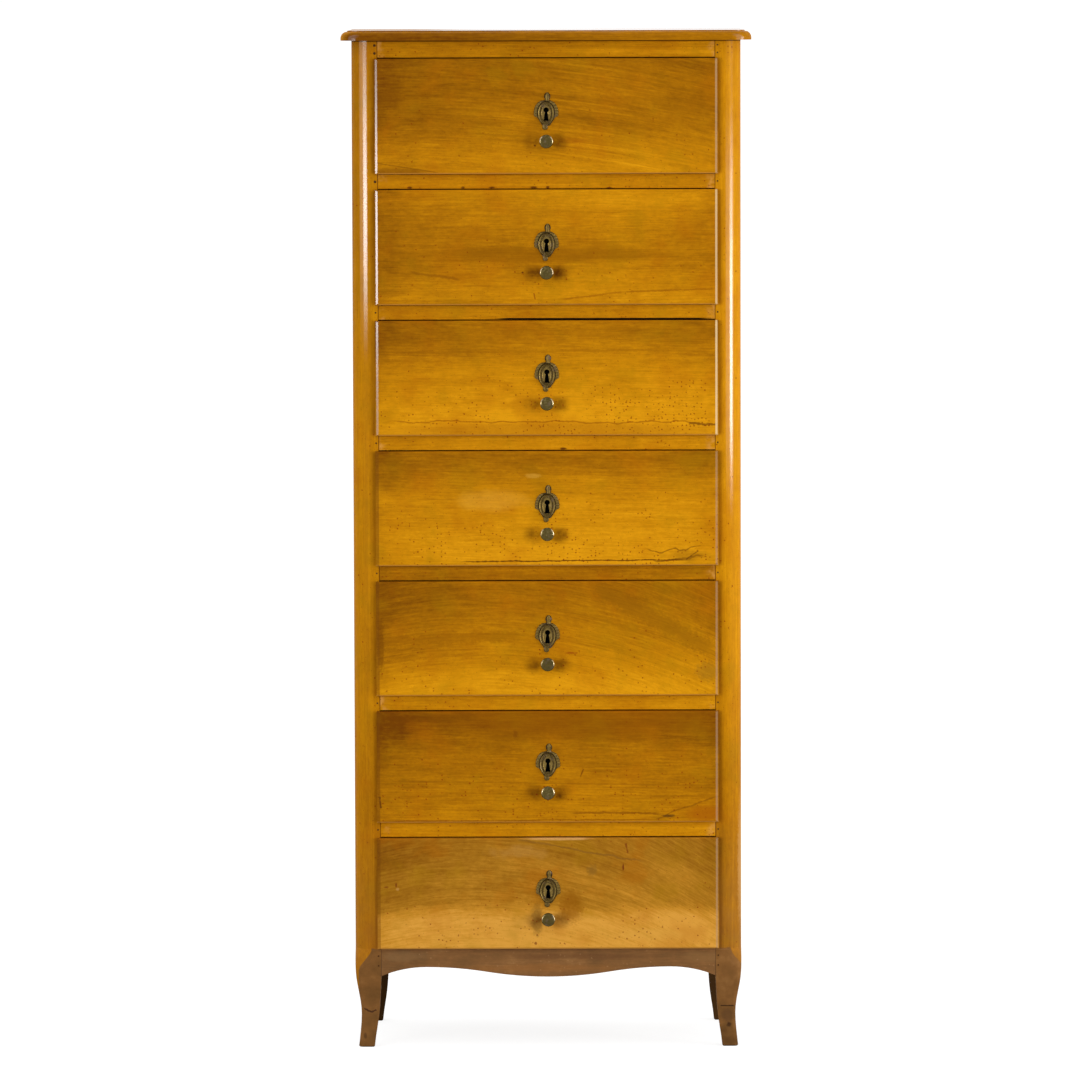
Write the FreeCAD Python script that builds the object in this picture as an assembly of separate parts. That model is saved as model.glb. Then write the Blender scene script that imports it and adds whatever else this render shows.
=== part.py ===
import FreeCAD, Part
import math
import os

# A semainier: a tall narrow chest with seven drawers, one above the other, on four cabriole legs.
# Millimetres. +Z is up, the drawers face -Y, and the origin is on the floor under the middle of the
# whole chest, knobs included. Drawer 1 is the top one.

# --- case ---
case_width = 552.0           # over the outer faces of the posts
case_depth = 295.0           # front face of the front posts to back face of the rear posts
leg_height = 141.5           # floor to the top edge of the aprons
lower_count = 2              # drawers at the bottom with the lower opening
lower_opening = 161.5
upper_count = 5              # drawers above them with the taller opening
upper_opening = 165.5
rail_height = 20.0           # rail between two drawers
top_rail_height = 24.0       # rail above the top drawer

# --- posts and their legs, each sawn from one piece ---
post_size = 37.0             # square stock
rear_post_width = 43.0       # the rear posts are wider across the front
post_round = 28.0            # broad round on the front arris of a front post
rear_post_bevel = 4.0        # outer arris of a rear post
knee_share = 0.70            # knee, as a share of the leg's height: above it the inner faces are straight
ankle_share = 0.36           # ankle, as a share of the leg's height
knee_inset = 1.4             # how far the outer faces lie inside the case at the knee
ankle_inset = 8.6            # the same at the ankle
toe_inset = 4.8              # the same at the floor
knee_round = 6.0             # front arris at the knee
ankle_round = 5.0            # front arris from the ankle down
inner_sweep = 9.6            # how far the inner faces sweep out at the floor
sole_bevel = 1.6             # worn bevel around the sole
# (share of the way from floor to ankle, way from toe inset to ankle inset, share of the inner sweep)
foot_curve = [(0.0, 0.0, 1.0), (0.31, 0.45, 0.80), (0.67, 0.91, 0.50), (1.0, 1.0, 0.29)]
# (share of the way from ankle to knee, way from ankle inset to knee inset, share of the inner sweep)
shin_curve = [(0.35, 0.24, 0.17), (0.71, 0.68, 0.08), (1.0, 1.0, 0.0)]
# (share of the way from knee to post, share of the knee inset, way from knee round to post round)
knee_curve = [(0.0, 1.0, 0.0), (0.3, 0.25, 0.06), (0.6, 0.0, 0.28), (0.85, 0.0, 0.64), (1.0, 0.0, 1.0)]

# --- top board ---
top_thickness = 14.0
top_overhang = 15.0          # past the case at the front and the sides
top_back_overhang = 3.0
top_corner_round = 28.0      # front corners of the board, seen from above
top_ovolo = 9.5              # quarter-round on the front and side edges
top_step = 1.3               # small step between the quarter-round and the flat of the board

# --- joinery of the case ---
tenon_length = 20.0
tenon_setback = 8.0          # face of the case to the cheek of a rail's tenon
tenon_shoulder = 3.0         # above and below a rail's tenon
mortise_play = 0.5           # room beyond the end of a tenon
panel_thickness = 12.0
panel_recess = 3.0           # outer face of the posts to the side panel
tongue_thickness = 5.0       # tongue around a side panel
tongue_depth = 8.0

# --- aprons ---
apron_thickness = 20.0
apron_tenon_thickness = 10.0
side_tenon_thickness = 6.6   # tenon of a side apron
apron_foot_shoulder = 6.0    # lower edge of an apron to its tenon
apron_end_depth = 39.0       # at the posts
apron_arch_depth = 26.0      # at the top of each arch
apron_drop_depth = 40.2      # at the drop in the middle
apron_arch_share = 0.73      # place of the arch, as a share of the half length
side_drop_depth = 33.0       # the drop of a side apron is shallower

# --- back ---
back_thickness = 10.0
back_board_count = 3
back_rebate = 8.0            # rebate in the rear posts, behind the boards
back_bottom = 122.0          # lower edge of the boards
board_tongue = 5.0
board_tongue_thickness = 3.4
back_rail_height = 40.0
back_rail_thickness = 20.0
back_tenon_thickness = 10.0

# --- drawer slides ---
runner_reach = 17.0          # how far a runner reaches under the drawer, past the post's inner face
guide_height = 18.0
housing_depth = 8.0          # runner let into the rear post
stub_height = 8.0            # stub tenon of a runner in the rail in front of it
stub_shoulder = 3.4          # beside that stub
running_gap = 0.3            # drawer side above its runner, and lip in front of the posts

# --- drawers ---
front_gap_below = 0.9        # front above its rail
front_gap_above = 1.6        # front below the next rail
lip_overlap = 4.7            # lip over each post
lip_thickness = 8.0
lip_bevel_depth = 1.6        # bevel around the face of the front
side_bevel = 4.8             # its width at the sides
level_bevel = 2.0            # its width at the top and the bottom
core_thickness = 12.0        # the part of the front inside the opening
side_clearance = 1.0         # drawer side to post
side_thickness = 10.0
side_drop = 4.0              # top edge of the sides below the rail
back_clearance = 3.0         # drawer back to rear posts
drawer_back_thickness = 9.0
drawer_back_drop = 6.0       # back lower than the sides
bottom_rise = 7.0            # bottom edge of the sides to the groove
bottom_tongue = 4.0          # thickness of the bottom's edge, in its groove
groove_depth = 4.0
bottom_field = 3.0           # extra thickness of the bottom inside its bevelled margin
bottom_margin = 18.0         # width of that margin
tail_count = 2               # dovetails at each corner
tail_length = 9.0            # in the front; at the back they go right through
tail_share = 0.58            # wide end of a tail, as a share of the pitch
tail_slope = 0.18            # flare on each flank
tail_start = 13.0            # half pin at the bottom
tail_end = 8.0               # half pin at the top

# --- keyhole, escutcheon and lock ---
keyplate_rise = 4.0          # middle of the oval above the middle of the front
keyplate_thickness = 1.4
# right half of the plate from the middle of the oval: leaf, neck, shoulder, wing, hook, flank and drop
keyplate_half = [(0.0, 29.6), (3.2, 28.2), (4.6, 25.2), (3.6, 22.2), (2.4, 19.6), (7.4, 18.0), (11.8, 15.2),
                 (14.8, 11.2), (16.8, 6.6), (17.6, 1.6), (17.0, -3.8), (13.6, -5.2), (12.4, -9.0),
                 (9.8, -12.2), (6.0, -14.8), (3.4, -16.6), (4.0, -20.0), (2.4, -22.8), (0.0, -23.5)]
oval_width = 23.0
oval_height = 31.0
oval_relief = 1.6            # the oval stands out from the plate
key_round_radius = 3.2       # round of the keyhole
key_round_rise = 5.0         # its centre above the middle of the oval
key_slot_drop = 10.2         # foot of the slot below the middle of the oval
key_slot_top = 3.8           # width of the slot at the round
key_slot_foot = 5.6          # and at its foot
lock_width = 50.0
lock_depth = 9.0
lock_recess = 5.0            # lock case let into the back of the front
lock_below_slot = 6.0        # lock case below the foot of the key's slot
selvedge_width = 62.0
selvedge_thickness = 2.0
bolt_width = 18.0
bolt_thickness = 4.0
bolt_height = 24.0
bolt_throw = 8.0             # travel of the bolt: depth of its mortise in the rail above
bolt_play = 0.4              # around the bolt in that mortise

# --- knob ---
knob_radius = 9.75
knob_length = 20.0           # off the face of the drawer
knob_fall = 35.5             # below the middle of the front
knob_disc = 4.4              # thickness of its round head
knob_neck_radius = 3.8
tang_size = 4.0              # square tang of the knob, through the front
tang_play = 0.1              # around the tang
washer_size = 10.0           # square plate that the tang is riveted over
washer_thickness = 2.0

# --- sides of the small rounds, which repeat on every drawer and so are drawn with few faces ---
oval_sides = 24
key_sides = 12
knob_sides = 32
neck_sides = 16

# --- limits of the modelling ---
fillet_limit = 0.9           # the most of a wall that a round takes
same_place = 0.01            # two places nearer than this are one
cut_margin = 1.0             # a cutter goes this far past what it cuts

# --- worked out from the sizes above ---
half_case = case_width / 2
half_opening = half_case - post_size
rear_inner = half_case - rear_post_width
panel_outer = half_case - panel_recess
panel_inner = panel_outer - panel_thickness
drawer_count = lower_count + upper_count
openings_height = lower_count * lower_opening + upper_count * upper_opening
case_top = leg_height + openings_height + (drawer_count - 1) * rail_height + top_rail_height
front_reach = max(running_gap + lip_thickness + knob_length, top_overhang)
case_front = (front_reach - case_depth - top_back_overhang) / 2
case_back = case_front + case_depth
post_back = case_front + post_size
rear_post_front = case_back - post_size
lip_back = case_front - running_gap
face = lip_back - lip_thickness
core_back = lip_back + core_thickness
drawer_back = rear_post_front - back_clearance
side_outer = half_opening - side_clearance
side_inner = side_outer - side_thickness
tongue_bottom = running_gap + bottom_rise
tongue_top = tongue_bottom + bottom_tongue


def vector(x, y, z):
    return FreeCAD.Vector(x, y, z)


def box(x, y, z):
    """Box from three (low, high) pairs."""
    return Part.makeBox(x[1] - x[0], y[1] - y[0], z[1] - z[0], vector(x[0], y[0], z[0]))


def mirrored(shape):
    """The same piece on the other side of the chest."""
    return shape.mirror(vector(0, 0, 0), vector(1, 0, 0))


def pair(shape):
    return [shape, mirrored(shape)]


def moved_up(shape, rise):
    copy = shape.copy()
    copy.translate(vector(0, 0, rise))
    return copy


def extruded(wire, direction):
    return Part.Face(wire).extrude(direction)


def rectangle(x, y, z):
    """Level rectangle from two (low, high) pairs."""
    corners = [(x[0], y[0]), (x[1], y[0]), (x[1], y[1]), (x[0], y[1]), (x[0], y[0])]
    return Part.makePolygon([vector(u, v, z) for u, v in corners])


def save(name, *solids):
    shape = solids[0] if len(solids) == 1 else Part.makeCompound(list(solids))
    shape.exportStep("parts/%s.step" % name)


def drawer_openings():
    """Floor of the opening and its height for each drawer, from drawer 1 at the top down."""
    openings = []
    floor = leg_height
    for index in range(drawer_count):
        height = lower_opening if index < lower_count else upper_opening
        openings.append((floor, height))
        floor += height + rail_height
    return openings[::-1]


def rail_levels():
    """Low and high side of each rail between two drawers, from the top down."""
    return [(floor - rail_height, floor) for floor, height in drawer_openings()[:-1]]


# --- posts ---

def between(low, high, share):
    return low + share * (high - low)


def corner_points(centre_u, centre_v, radius, start, z):
    """Start, middle and end of a quarter circle that turns left from the start angle."""
    angles = [start, start + math.pi / 4, start + math.pi / 2]
    return [vector(centre_u + radius * math.cos(a), centre_v + radius * math.sin(a), z) for a in angles]


def corner_arc(*place):
    return Part.Arc(*corner_points(*place)).toShape()


def corner_bevel(*place):
    start, middle, end = corner_points(*place)
    return Part.makeLine(start, end)


def post_section(width, outer_inset, inner_inset, arris, z, corner):
    """Section of a post whose outer corner is at (0, 0), with the post behind it in -x and -y."""
    u0, u1 = inner_inset - width, -outer_inset
    v0, v1 = inner_inset - post_size, -outer_inset
    turn = min(arris, fillet_limit * (u1 - u0), fillet_limit * (v1 - v0))
    edges = [
        Part.makeLine(vector(u0, v0, z), vector(u1, v0, z)),
        Part.makeLine(vector(u1, v0, z), vector(u1, v1 - turn, z)),
        corner(u1 - turn, v1 - turn, turn, 0, z),
        Part.makeLine(vector(u1 - turn, v1, z), vector(u0, v1, z)),
        Part.makeLine(vector(u0, v1, z), vector(u0, v0, z)),
    ]
    return Part.Wire(edges)


def leg_stations(arris):
    """Outer inset, inner inset, arris and height of each section, up to the knee and from the knee up."""
    ankle, knee = ankle_share * leg_height, knee_share * leg_height
    lower = [(between(toe_inset, ankle_inset, way), sweep * inner_sweep, ankle_round, share * ankle)
             for share, way, sweep in foot_curve]
    lower += [(between(ankle_inset, knee_inset, way), sweep * inner_sweep,
               between(ankle_round, knee_round, share), between(ankle, knee, share))
              for share, way, sweep in shin_curve]
    upper = [(inset * knee_inset, 0.0, between(knee_round, arris, way), between(knee, leg_height, share))
             for share, inset, way in knee_curve]
    return lower, upper


def post(width, arris, corner):
    """Post and cabriole leg in one piece, with its outer corner over (0, 0)."""
    parts = [[post_section(width, *station, corner) for station in stations]
             for stations in leg_stations(arris)]
    lower, upper = [Part.makeLoft(sections, True, False) for sections in parts]
    sole = post_section(width, toe_inset + sole_bevel, inner_sweep + sole_bevel, ankle_round, 0, corner)
    sole_top = post_section(width, toe_inset, inner_sweep, ankle_round, sole_bevel, corner)
    bevel = Part.makeLoft([sole, sole_top], True, True)
    above_bevel = box((-2 * width, width), (-2 * post_size, post_size), (sole_bevel, case_top))
    top_section = post_section(width, 0, 0, arris, leg_height, corner)
    shaft = extruded(top_section, vector(0, 0, case_top - leg_height))
    return shaft.fuse([lower.fuse(upper).common(above_bevel), bevel]).removeSplitter()


def front_post():
    """Right-hand front post, with its mortises and its groove."""
    shape = post(post_size, post_round, corner_arc).mirror(vector(0, 0, 0), vector(0, 1, 0))
    shape.translate(vector(half_case, case_front, 0))
    cuts = [rail_tenon(low, high, mortise_play) for low, high in rail_levels() + [top_rail_level()]]
    cuts += [apron_tenon(mortise_play), side_apron_tenon(mortise_play), panel_tongue()]
    return shape.cut(cuts)


def rear_post():
    """Right-hand rear post, with its mortises, its groove and the rebate of the back."""
    shape = post(rear_post_width, rear_post_bevel, corner_bevel)
    shape.translate(vector(half_case, case_back, 0))
    cuts = [side_apron_tenon(mortise_play), panel_tongue(), back_space()]
    cuts += [back_rail_tenon(level, mortise_play) for level in back_rail_levels()]
    cuts += [runner_housing(level) for level in runner_levels()]
    return shape.cut(cuts)


# --- rails and aprons ---

def top_rail_level():
    return (case_top - top_rail_height, case_top)


def rail_tenon(low, high, play=0.0):
    return box((half_opening, half_opening + tenon_length + play),
               (case_front + tenon_setback, post_back - tenon_setback),
               (low + tenon_shoulder, high - tenon_shoulder))


def bolt_space(level, rise, play):
    """Room for a lock bolt that reaches up by rise from a level."""
    middle = core_back - lock_recess + lock_depth / 2
    return box((-bolt_width / 2 - play, bolt_width / 2 + play),
               (middle - bolt_thickness / 2 - play, middle + bolt_thickness / 2 + play),
               (level, level + rise))


def rail(low, high):
    """Front rail with a tenon at each end, the mortise of the bolt below and the sockets of the runners."""
    shape = box((-half_opening, half_opening), (case_front, post_back), (low, high))
    tenon = rail_tenon(low, high)
    return shape.fuse(pair(tenon)).cut([bolt_space(low, bolt_throw, bolt_play)] + pair(runner_stub(high)))


def apron_tenon(play=0.0):
    middle = case_front + apron_thickness / 2
    return box((half_opening, half_opening + tenon_length + play),
               (middle - apron_tenon_thickness / 2, middle + apron_tenon_thickness / 2),
               (leg_height - apron_end_depth + apron_foot_shoulder, leg_height - tenon_shoulder))


def level_arc(crown, end, side):
    """Arc in the XZ plane that is level at its crown, on the right (side 1) or the left (side -1)."""
    run, rise = end[0] - crown[0], end[1] - crown[1]
    radius = (run ** 2 + rise ** 2) / (2 * rise)
    slope = math.atan(rise / run)
    way = (crown[0] + radius * math.sin(slope), crown[1] + radius * (1 - math.cos(slope)))
    return Part.Arc(*[vector(side * x, 0, z) for x, z in (crown, way, end)]).toShape()


def apron_outline(half_length, drop_depth):
    """Serpentine apron in the XZ plane: a drop in the middle, and an arch beside each post."""
    drop = (0, leg_height - drop_depth)
    arch = (apron_arch_share * half_length, leg_height - apron_arch_depth)
    flank = (arch[0] / 2, (drop[1] + arch[1]) / 2)
    end = (half_length, leg_height - apron_end_depth)
    curves = [level_arc(crown, foot, side) for side in (1, -1)
              for crown, foot in ((drop, flank), (arch, flank), (arch, end))]
    sides = Part.makePolygon([vector(half_length, 0, end[1]), vector(half_length, 0, leg_height),
                              vector(-half_length, 0, leg_height), vector(-half_length, 0, end[1])])
    return Part.Wire(Part.__sortEdges__(curves + sides.Edges))


def front_apron():
    shape = extruded(apron_outline(half_opening, apron_drop_depth), vector(0, apron_thickness, 0))
    shape.translate(vector(0, case_front, 0))
    stub = runner_stub(leg_height, case_front + apron_thickness)
    return shape.fuse(pair(apron_tenon())).cut(pair(stub))


def side_apron_tenon(play=0.0):
    """Tenons of the right-hand side apron, through its whole length, so that both posts can use it."""
    middle = (panel_inner + half_case) / 2
    foot = leg_height - apron_end_depth + apron_foot_shoulder
    return box((middle - side_tenon_thickness / 2, middle + side_tenon_thickness / 2),
               (post_back - tenon_length - play, rear_post_front + tenon_length + play),
               (foot, leg_height - tongue_depth - tenon_shoulder))


def side_apron():
    """Right-hand side apron, as thick as the panel and its recess."""
    half_length = (rear_post_front - post_back) / 2
    shape = extruded(apron_outline(half_length, side_drop_depth), vector(0, half_case - panel_inner, 0))
    shape.rotate(vector(0, 0, 0), vector(0, 0, 1), -90)
    shape.translate(vector(panel_inner, (post_back + rear_post_front) / 2, 0))
    return shape.fuse(side_apron_tenon()).cut(panel_tongue())


# --- panels and back ---

def panel_tongue():
    """Tongue of the right-hand side panel, in the grooves of both posts and of the side apron."""
    middle = (panel_outer + panel_inner) / 2
    return box((middle - tongue_thickness / 2, middle + tongue_thickness / 2),
               (post_back - tongue_depth, rear_post_front + tongue_depth),
               (leg_height - tongue_depth, case_top))


def side_panel():
    field = box((panel_inner, panel_outer), (post_back, rear_post_front), (leg_height, case_top))
    return field.fuse(panel_tongue())


def back_space():
    """Cutter of the rebate in both rear posts, which runs past their back faces and their tops."""
    half_width = rear_inner + back_rebate
    return box((-half_width, half_width), (case_back - back_thickness, case_back + cut_margin),
               (back_bottom, case_top + cut_margin))


def back_boards():
    """Upright boards, tongued and grooved to each other."""
    half_width = rear_inner + back_rebate
    width = 2 * half_width / back_board_count
    middle = case_back - back_thickness / 2
    boards = []
    for index in range(back_board_count):
        left = -half_width + index * width
        board = box((left, left + width), (case_back - back_thickness, case_back), (back_bottom, case_top))
        thickness = (middle - board_tongue_thickness / 2, middle + board_tongue_thickness / 2)
        tongues = [box((edge, edge + board_tongue), thickness, (back_bottom, case_top))
                   for edge in (left, left + width)]
        if index > 0:
            board = board.cut(tongues[0])
        if index < back_board_count - 1:
            board = board.fuse(tongues[1])
        boards.append(board)
    return boards


def back_rail_levels():
    return [(back_bottom, back_bottom + back_rail_height), (case_top - back_rail_height, case_top)]


def back_rail_tenon(level, play=0.0):
    middle = case_back - back_thickness - back_rail_thickness / 2
    return box((rear_inner, rear_inner + tenon_length + play),
               (middle - back_tenon_thickness / 2, middle + back_tenon_thickness / 2),
               (level[0] + tenon_shoulder, level[1] - tenon_shoulder))


def back_rail(level):
    back = case_back - back_thickness
    shape = box((-rear_inner, rear_inner), (back - back_rail_thickness, back), level)
    return shape.fuse(pair(back_rail_tenon(level)))


def top_outline(inset, z):
    """Plan of the top board, inset at the front and the sides, with rounded front corners."""
    reach = half_case + top_overhang - inset
    low = case_front - top_overhang + inset
    high = case_back + top_back_overhang
    turn = top_corner_round - inset
    edges = [
        Part.makeLine(vector(-reach + turn, low, z), vector(reach - turn, low, z)),
        corner_arc(reach - turn, low + turn, turn, -math.pi / 2, z),
        Part.makeLine(vector(reach, low + turn, z), vector(reach, high, z)),
        Part.makeLine(vector(reach, high, z), vector(-reach, high, z)),
        Part.makeLine(vector(-reach, high, z), vector(-reach, low + turn, z)),
        corner_arc(-reach + turn, low + turn, turn, math.pi, z),
    ]
    return Part.Wire(edges)


def top_board():
    """Board with a quarter-round and a small step along the front and the sides."""
    high = case_back + top_back_overhang
    lower = extruded(top_outline(0, case_top), vector(0, 0, top_thickness - top_step))
    level = case_top + top_thickness - top_step
    moulded = [edge for edge in lower.Edges
               if all(abs(v.Z - level) < same_place for v in edge.Vertexes)
               and any(v.Y < high - same_place for v in edge.Vertexes)]
    lower = lower.makeFillet(min(top_ovolo, fillet_limit * (top_thickness - top_step)), moulded)
    upper = extruded(top_outline(top_ovolo, case_top), vector(0, 0, top_thickness))
    return lower.fuse(upper).removeSplitter()


# --- runners, kickers and guides ---

def runner_levels():
    """(low, high) of every runner: one pair under each drawer and the kickers above the top one."""
    levels = [(floor - rail_height, floor) for floor, height in drawer_openings()]
    return levels + [top_rail_level()]


def runner_stub(top, back_face=post_back):
    """Stub tenon of the right-hand runner, in the back of the rail or apron in front of it."""
    middle = top - rail_height / 2
    return box((half_opening - runner_reach + stub_shoulder, half_opening - stub_shoulder),
               (back_face - housing_depth, back_face), (middle - stub_height / 2, middle + stub_height / 2))


def runner_housing(level):
    """End of the right-hand runner, let into the rear post."""
    return box((rear_inner, panel_inner), (rear_post_front, rear_post_front + housing_depth), level)


def runner(level):
    """Right-hand runner, from the rail or apron in front of it to its housing in the rear post."""
    lowest = level[1] == leg_height
    start = case_front + apron_thickness if lowest else post_back
    shape = box((half_opening - runner_reach, panel_inner), (start, rear_post_front), level)
    post_room = box((half_opening, half_case), (case_front, post_back), (0, case_top))
    return shape.cut(post_room).fuse([runner_stub(level[1], start), runner_housing(level)])


def guide(floor):
    """Right-hand guide strip on its runner, level with the inner face of the post."""
    return box((half_opening, panel_inner), (post_back, rear_post_front), (floor, floor + guide_height))


# --- drawers: each piece is made over an opening floor at z = 0 and then lifted ---

def tail(root, tip, low, high):
    """One dovetail of the right-hand side, wider at its tip."""
    flare = tail_slope * abs(tip - root)
    points = [(root, low + flare), (tip, low), (tip, high), (root, high - flare), (root, low + flare)]
    wire = Part.makePolygon([vector(side_inner, y, z) for y, z in points])
    return extruded(wire, vector(side_thickness, 0, 0))


def tails(root, tip, height):
    start = running_gap + tail_start
    pitch = (height - side_drop - tail_end - start) / tail_count
    half = tail_share * pitch / 2
    middles = [start + (index + 0.5) * pitch for index in range(tail_count)]
    return [tail(root, tip, middle - half, middle + half) for middle in middles]


def front_middle(height):
    return (front_gap_below + height - front_gap_above) / 2


def small_round(half_width, half_height, sides, y, z):
    """Oval prism along Y around (0, z), with few sides."""
    turns = [2 * math.pi * side / sides for side in range(sides + 1)]
    points = [vector(half_width * math.cos(turn), y[0], z + half_height * math.sin(turn)) for turn in turns]
    return extruded(Part.makePolygon(points), vector(0, y[1] - y[0], 0))


def keyhole(height):
    """Cutter of the keyhole through the escutcheon."""
    middle = front_middle(height) + keyplate_rise
    centre = middle + key_round_rise
    start = face - keyplate_thickness - oval_relief - cut_margin
    length = face + cut_margin - start
    round_part = small_round(key_round_radius, key_round_radius, key_sides, (start, start + length), centre)
    foot = middle - key_slot_drop
    points = [(-key_slot_foot / 2, foot), (key_slot_foot / 2, foot), (key_slot_top / 2, centre),
              (-key_slot_top / 2, centre), (-key_slot_foot / 2, foot)]
    slot = extruded(Part.makePolygon([vector(x, start, z) for x, z in points]), vector(0, length, 0))
    return round_part.fuse(slot)


def key_slot(height):
    """Plain slot behind the keyhole, as wide and tall as it, through the wood and halfway into the lock."""
    middle = front_middle(height) + keyplate_rise
    return box((-key_round_radius, key_round_radius), (face, core_back - lock_recess + lock_depth / 2),
               (middle - key_slot_drop, middle + key_round_rise + key_round_radius))


def upright_rectangle(reach, y, z):
    """Rectangle in the XZ plane, reach to each side, from a (low, high) pair."""
    corners = [(-reach, z[0]), (reach, z[0]), (reach, z[1]), (-reach, z[1]), (-reach, z[0])]
    return Part.makePolygon([vector(x, y, level) for x, level in corners])


def drawer_lip(level):
    """Lip over the posts, with a bevel around its face that is wider at the sides."""
    reach = half_opening + lip_overlap
    bevel_back = face + lip_bevel_depth
    flat = (level[0] + level_bevel, level[1] - level_bevel)
    bevel = Part.makeLoft([upright_rectangle(reach - side_bevel, face, flat),
                           upright_rectangle(reach, bevel_back, level)], True, True)
    return box((-reach, reach), (bevel_back, lip_back), level).fuse(bevel)


def drawer_front(height):
    """Lipped front with sockets for the tails, a groove for the bottom and seats for the fittings."""
    level = (front_gap_below, height - front_gap_above)
    lip = drawer_lip(level)
    core = box((-side_outer, side_outer), (lip_back, core_back), level)
    sockets = [socket for shape in tails(core_back, core_back - tail_length, height)
               for socket in pair(shape)]
    cuts = sockets + [drawer_bottom(height), lock_envelope(height), key_slot(height), tang(height, tang_play)]
    return lip.fuse(core).removeSplitter().cut(cuts)


def drawer_back_board(height):
    board = box((-side_outer, side_outer), (drawer_back - drawer_back_thickness, drawer_back),
                (tongue_top, height - side_drop - drawer_back_drop))
    through = tails(drawer_back - drawer_back_thickness, drawer_back, height)
    return board.cut([shape for half in through for shape in pair(half)])


def drawer_side(height):
    """Right-hand side: tails into the front, and tails around the pins of the back."""
    board = box((side_inner, side_outer), (core_back, drawer_back), (running_gap, height - side_drop))
    board = board.fuse(tails(core_back, core_back - tail_length, height))
    return board.cut([drawer_back_board(height), drawer_bottom(height)])


def drawer_bottom(height):
    """Bottom board: a thin margin in the grooves, bevelled below to a thicker field."""
    reach = side_inner + groove_depth
    margin = box((-reach, reach), (core_back - groove_depth, drawer_back), (tongue_bottom, tongue_top))
    inner = ((-side_inner, side_inner), (core_back, drawer_back - drawer_back_thickness))
    field = [(low + bottom_margin, high - bottom_margin) for low, high in inner]
    low_wire = rectangle(field[0], field[1], tongue_bottom - bottom_field)
    high_wire = rectangle(inner[0], inner[1], tongue_bottom)
    return margin.fuse(Part.makeLoft([low_wire, high_wire], True, True))


# --- fittings ---

def lock_envelope(height):
    """Outer shape of the lock: its case and the selvedge along the top edge of the front."""
    top = height - front_gap_above
    foot = front_middle(height) + keyplate_rise - key_slot_drop - lock_below_slot
    start = core_back - lock_recess
    case = box((-lock_width / 2, lock_width / 2), (start, start + lock_depth), (foot, top))
    selvedge = box((-selvedge_width / 2, selvedge_width / 2), (start, start + lock_depth),
                   (top - selvedge_thickness, top))
    return case.fuse(selvedge)


def lock(height):
    """Lock case with a slot for the key, and the bolt drawn back until it is level with the selvedge."""
    top = height - front_gap_above
    bolt = bolt_space(top - bolt_height, bolt_height, 0)
    return lock_envelope(height).cut([bolt, key_slot(height)]), bolt


def keyplate_outline(y, middle):
    """Symmetrical outline of the plate."""
    right = [vector(x, y, middle + z) for x, z in keyplate_half]
    left = [vector(-x, y, middle + z) for x, z in keyplate_half[-2::-1]]
    return Part.makePolygon(right + left)


def escutcheon(height):
    """Cast plate with a raised oval around the keyhole."""
    middle = front_middle(height) + keyplate_rise
    plate = extruded(keyplate_outline(face, middle), vector(0, -keyplate_thickness, 0))
    front = face - keyplate_thickness
    boss = small_round(oval_width / 2, oval_height / 2, oval_sides, (front - oval_relief, front), middle)
    return plate.fuse(boss).cut(keyhole(height))


def tang(height, play=0.0):
    half = tang_size / 2 + play
    z = front_middle(height) - knob_fall
    return box((-half, half), (face, core_back + washer_thickness), (z - half, z + half))


def knob(height):
    """Turned knob whose square tang goes through the front and is riveted over a plate behind it."""
    z = front_middle(height) - knob_fall
    tip = face - knob_length
    disc = small_round(knob_radius, knob_radius, knob_sides, (tip, tip + knob_disc), z)
    neck = small_round(knob_neck_radius, knob_neck_radius, neck_sides, (tip + knob_disc, face), z)
    half = washer_size / 2
    washer = box((-half, half), (core_back, core_back + washer_thickness), (z - half, z + half))
    return disc.fuse([neck, tang(height)]), washer.cut(tang(height))


def save_case():
    post_right = front_post()
    save("front_post_right", post_right)
    save("front_post_left", mirrored(post_right))
    rear_right = rear_post()
    save("rear_post_right", rear_right)
    save("rear_post_left", mirrored(rear_right))
    save("top_board", top_board())
    save("top_rail", rail(*top_rail_level()))
    save("drawer_rails", *[rail(low, high) for low, high in rail_levels()])
    save("front_apron", front_apron())
    panel = side_panel()
    save("side_panel_right", panel)
    save("side_panel_left", mirrored(panel))
    apron = side_apron()
    save("side_apron_right", apron)
    save("side_apron_left", mirrored(apron))
    save("back_boards", *back_boards())
    save("back_rails", *[back_rail(level) for level in back_rail_levels()])
    runners = [piece for level in runner_levels()[:-1] for piece in pair(runner(level))]
    save("drawer_runners", *runners)
    save("kickers", *pair(runner(runner_levels()[-1])))
    guides = [piece for floor, height in drawer_openings() for piece in pair(guide(floor))]
    save("drawer_guides", *guides)


def drawer_pieces(height):
    """Every node of a drawer, over an opening floor at z = 0."""
    return {
        "front": [drawer_front(height)],
        "box": pair(drawer_side(height)) + [drawer_back_board(height)],
        "bottom": [drawer_bottom(height)],
        "escutcheon": [escutcheon(height)],
        "knob": list(knob(height)),
        "lock": list(lock(height)),
    }


def save_drawers():
    kinds = {height: drawer_pieces(height) for height in (lower_opening, upper_opening)}
    for number, (floor, height) in enumerate(drawer_openings(), start=1):
        for piece, solids in kinds[height].items():
            save("drawer_%d_%s" % (number, piece), *[moved_up(solid, floor) for solid in solids])


os.makedirs("parts", exist_ok=True)
save_case()
save_drawers()
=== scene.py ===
import bmesh
import bpy
import math
from mathutils import Matrix, Vector


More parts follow.
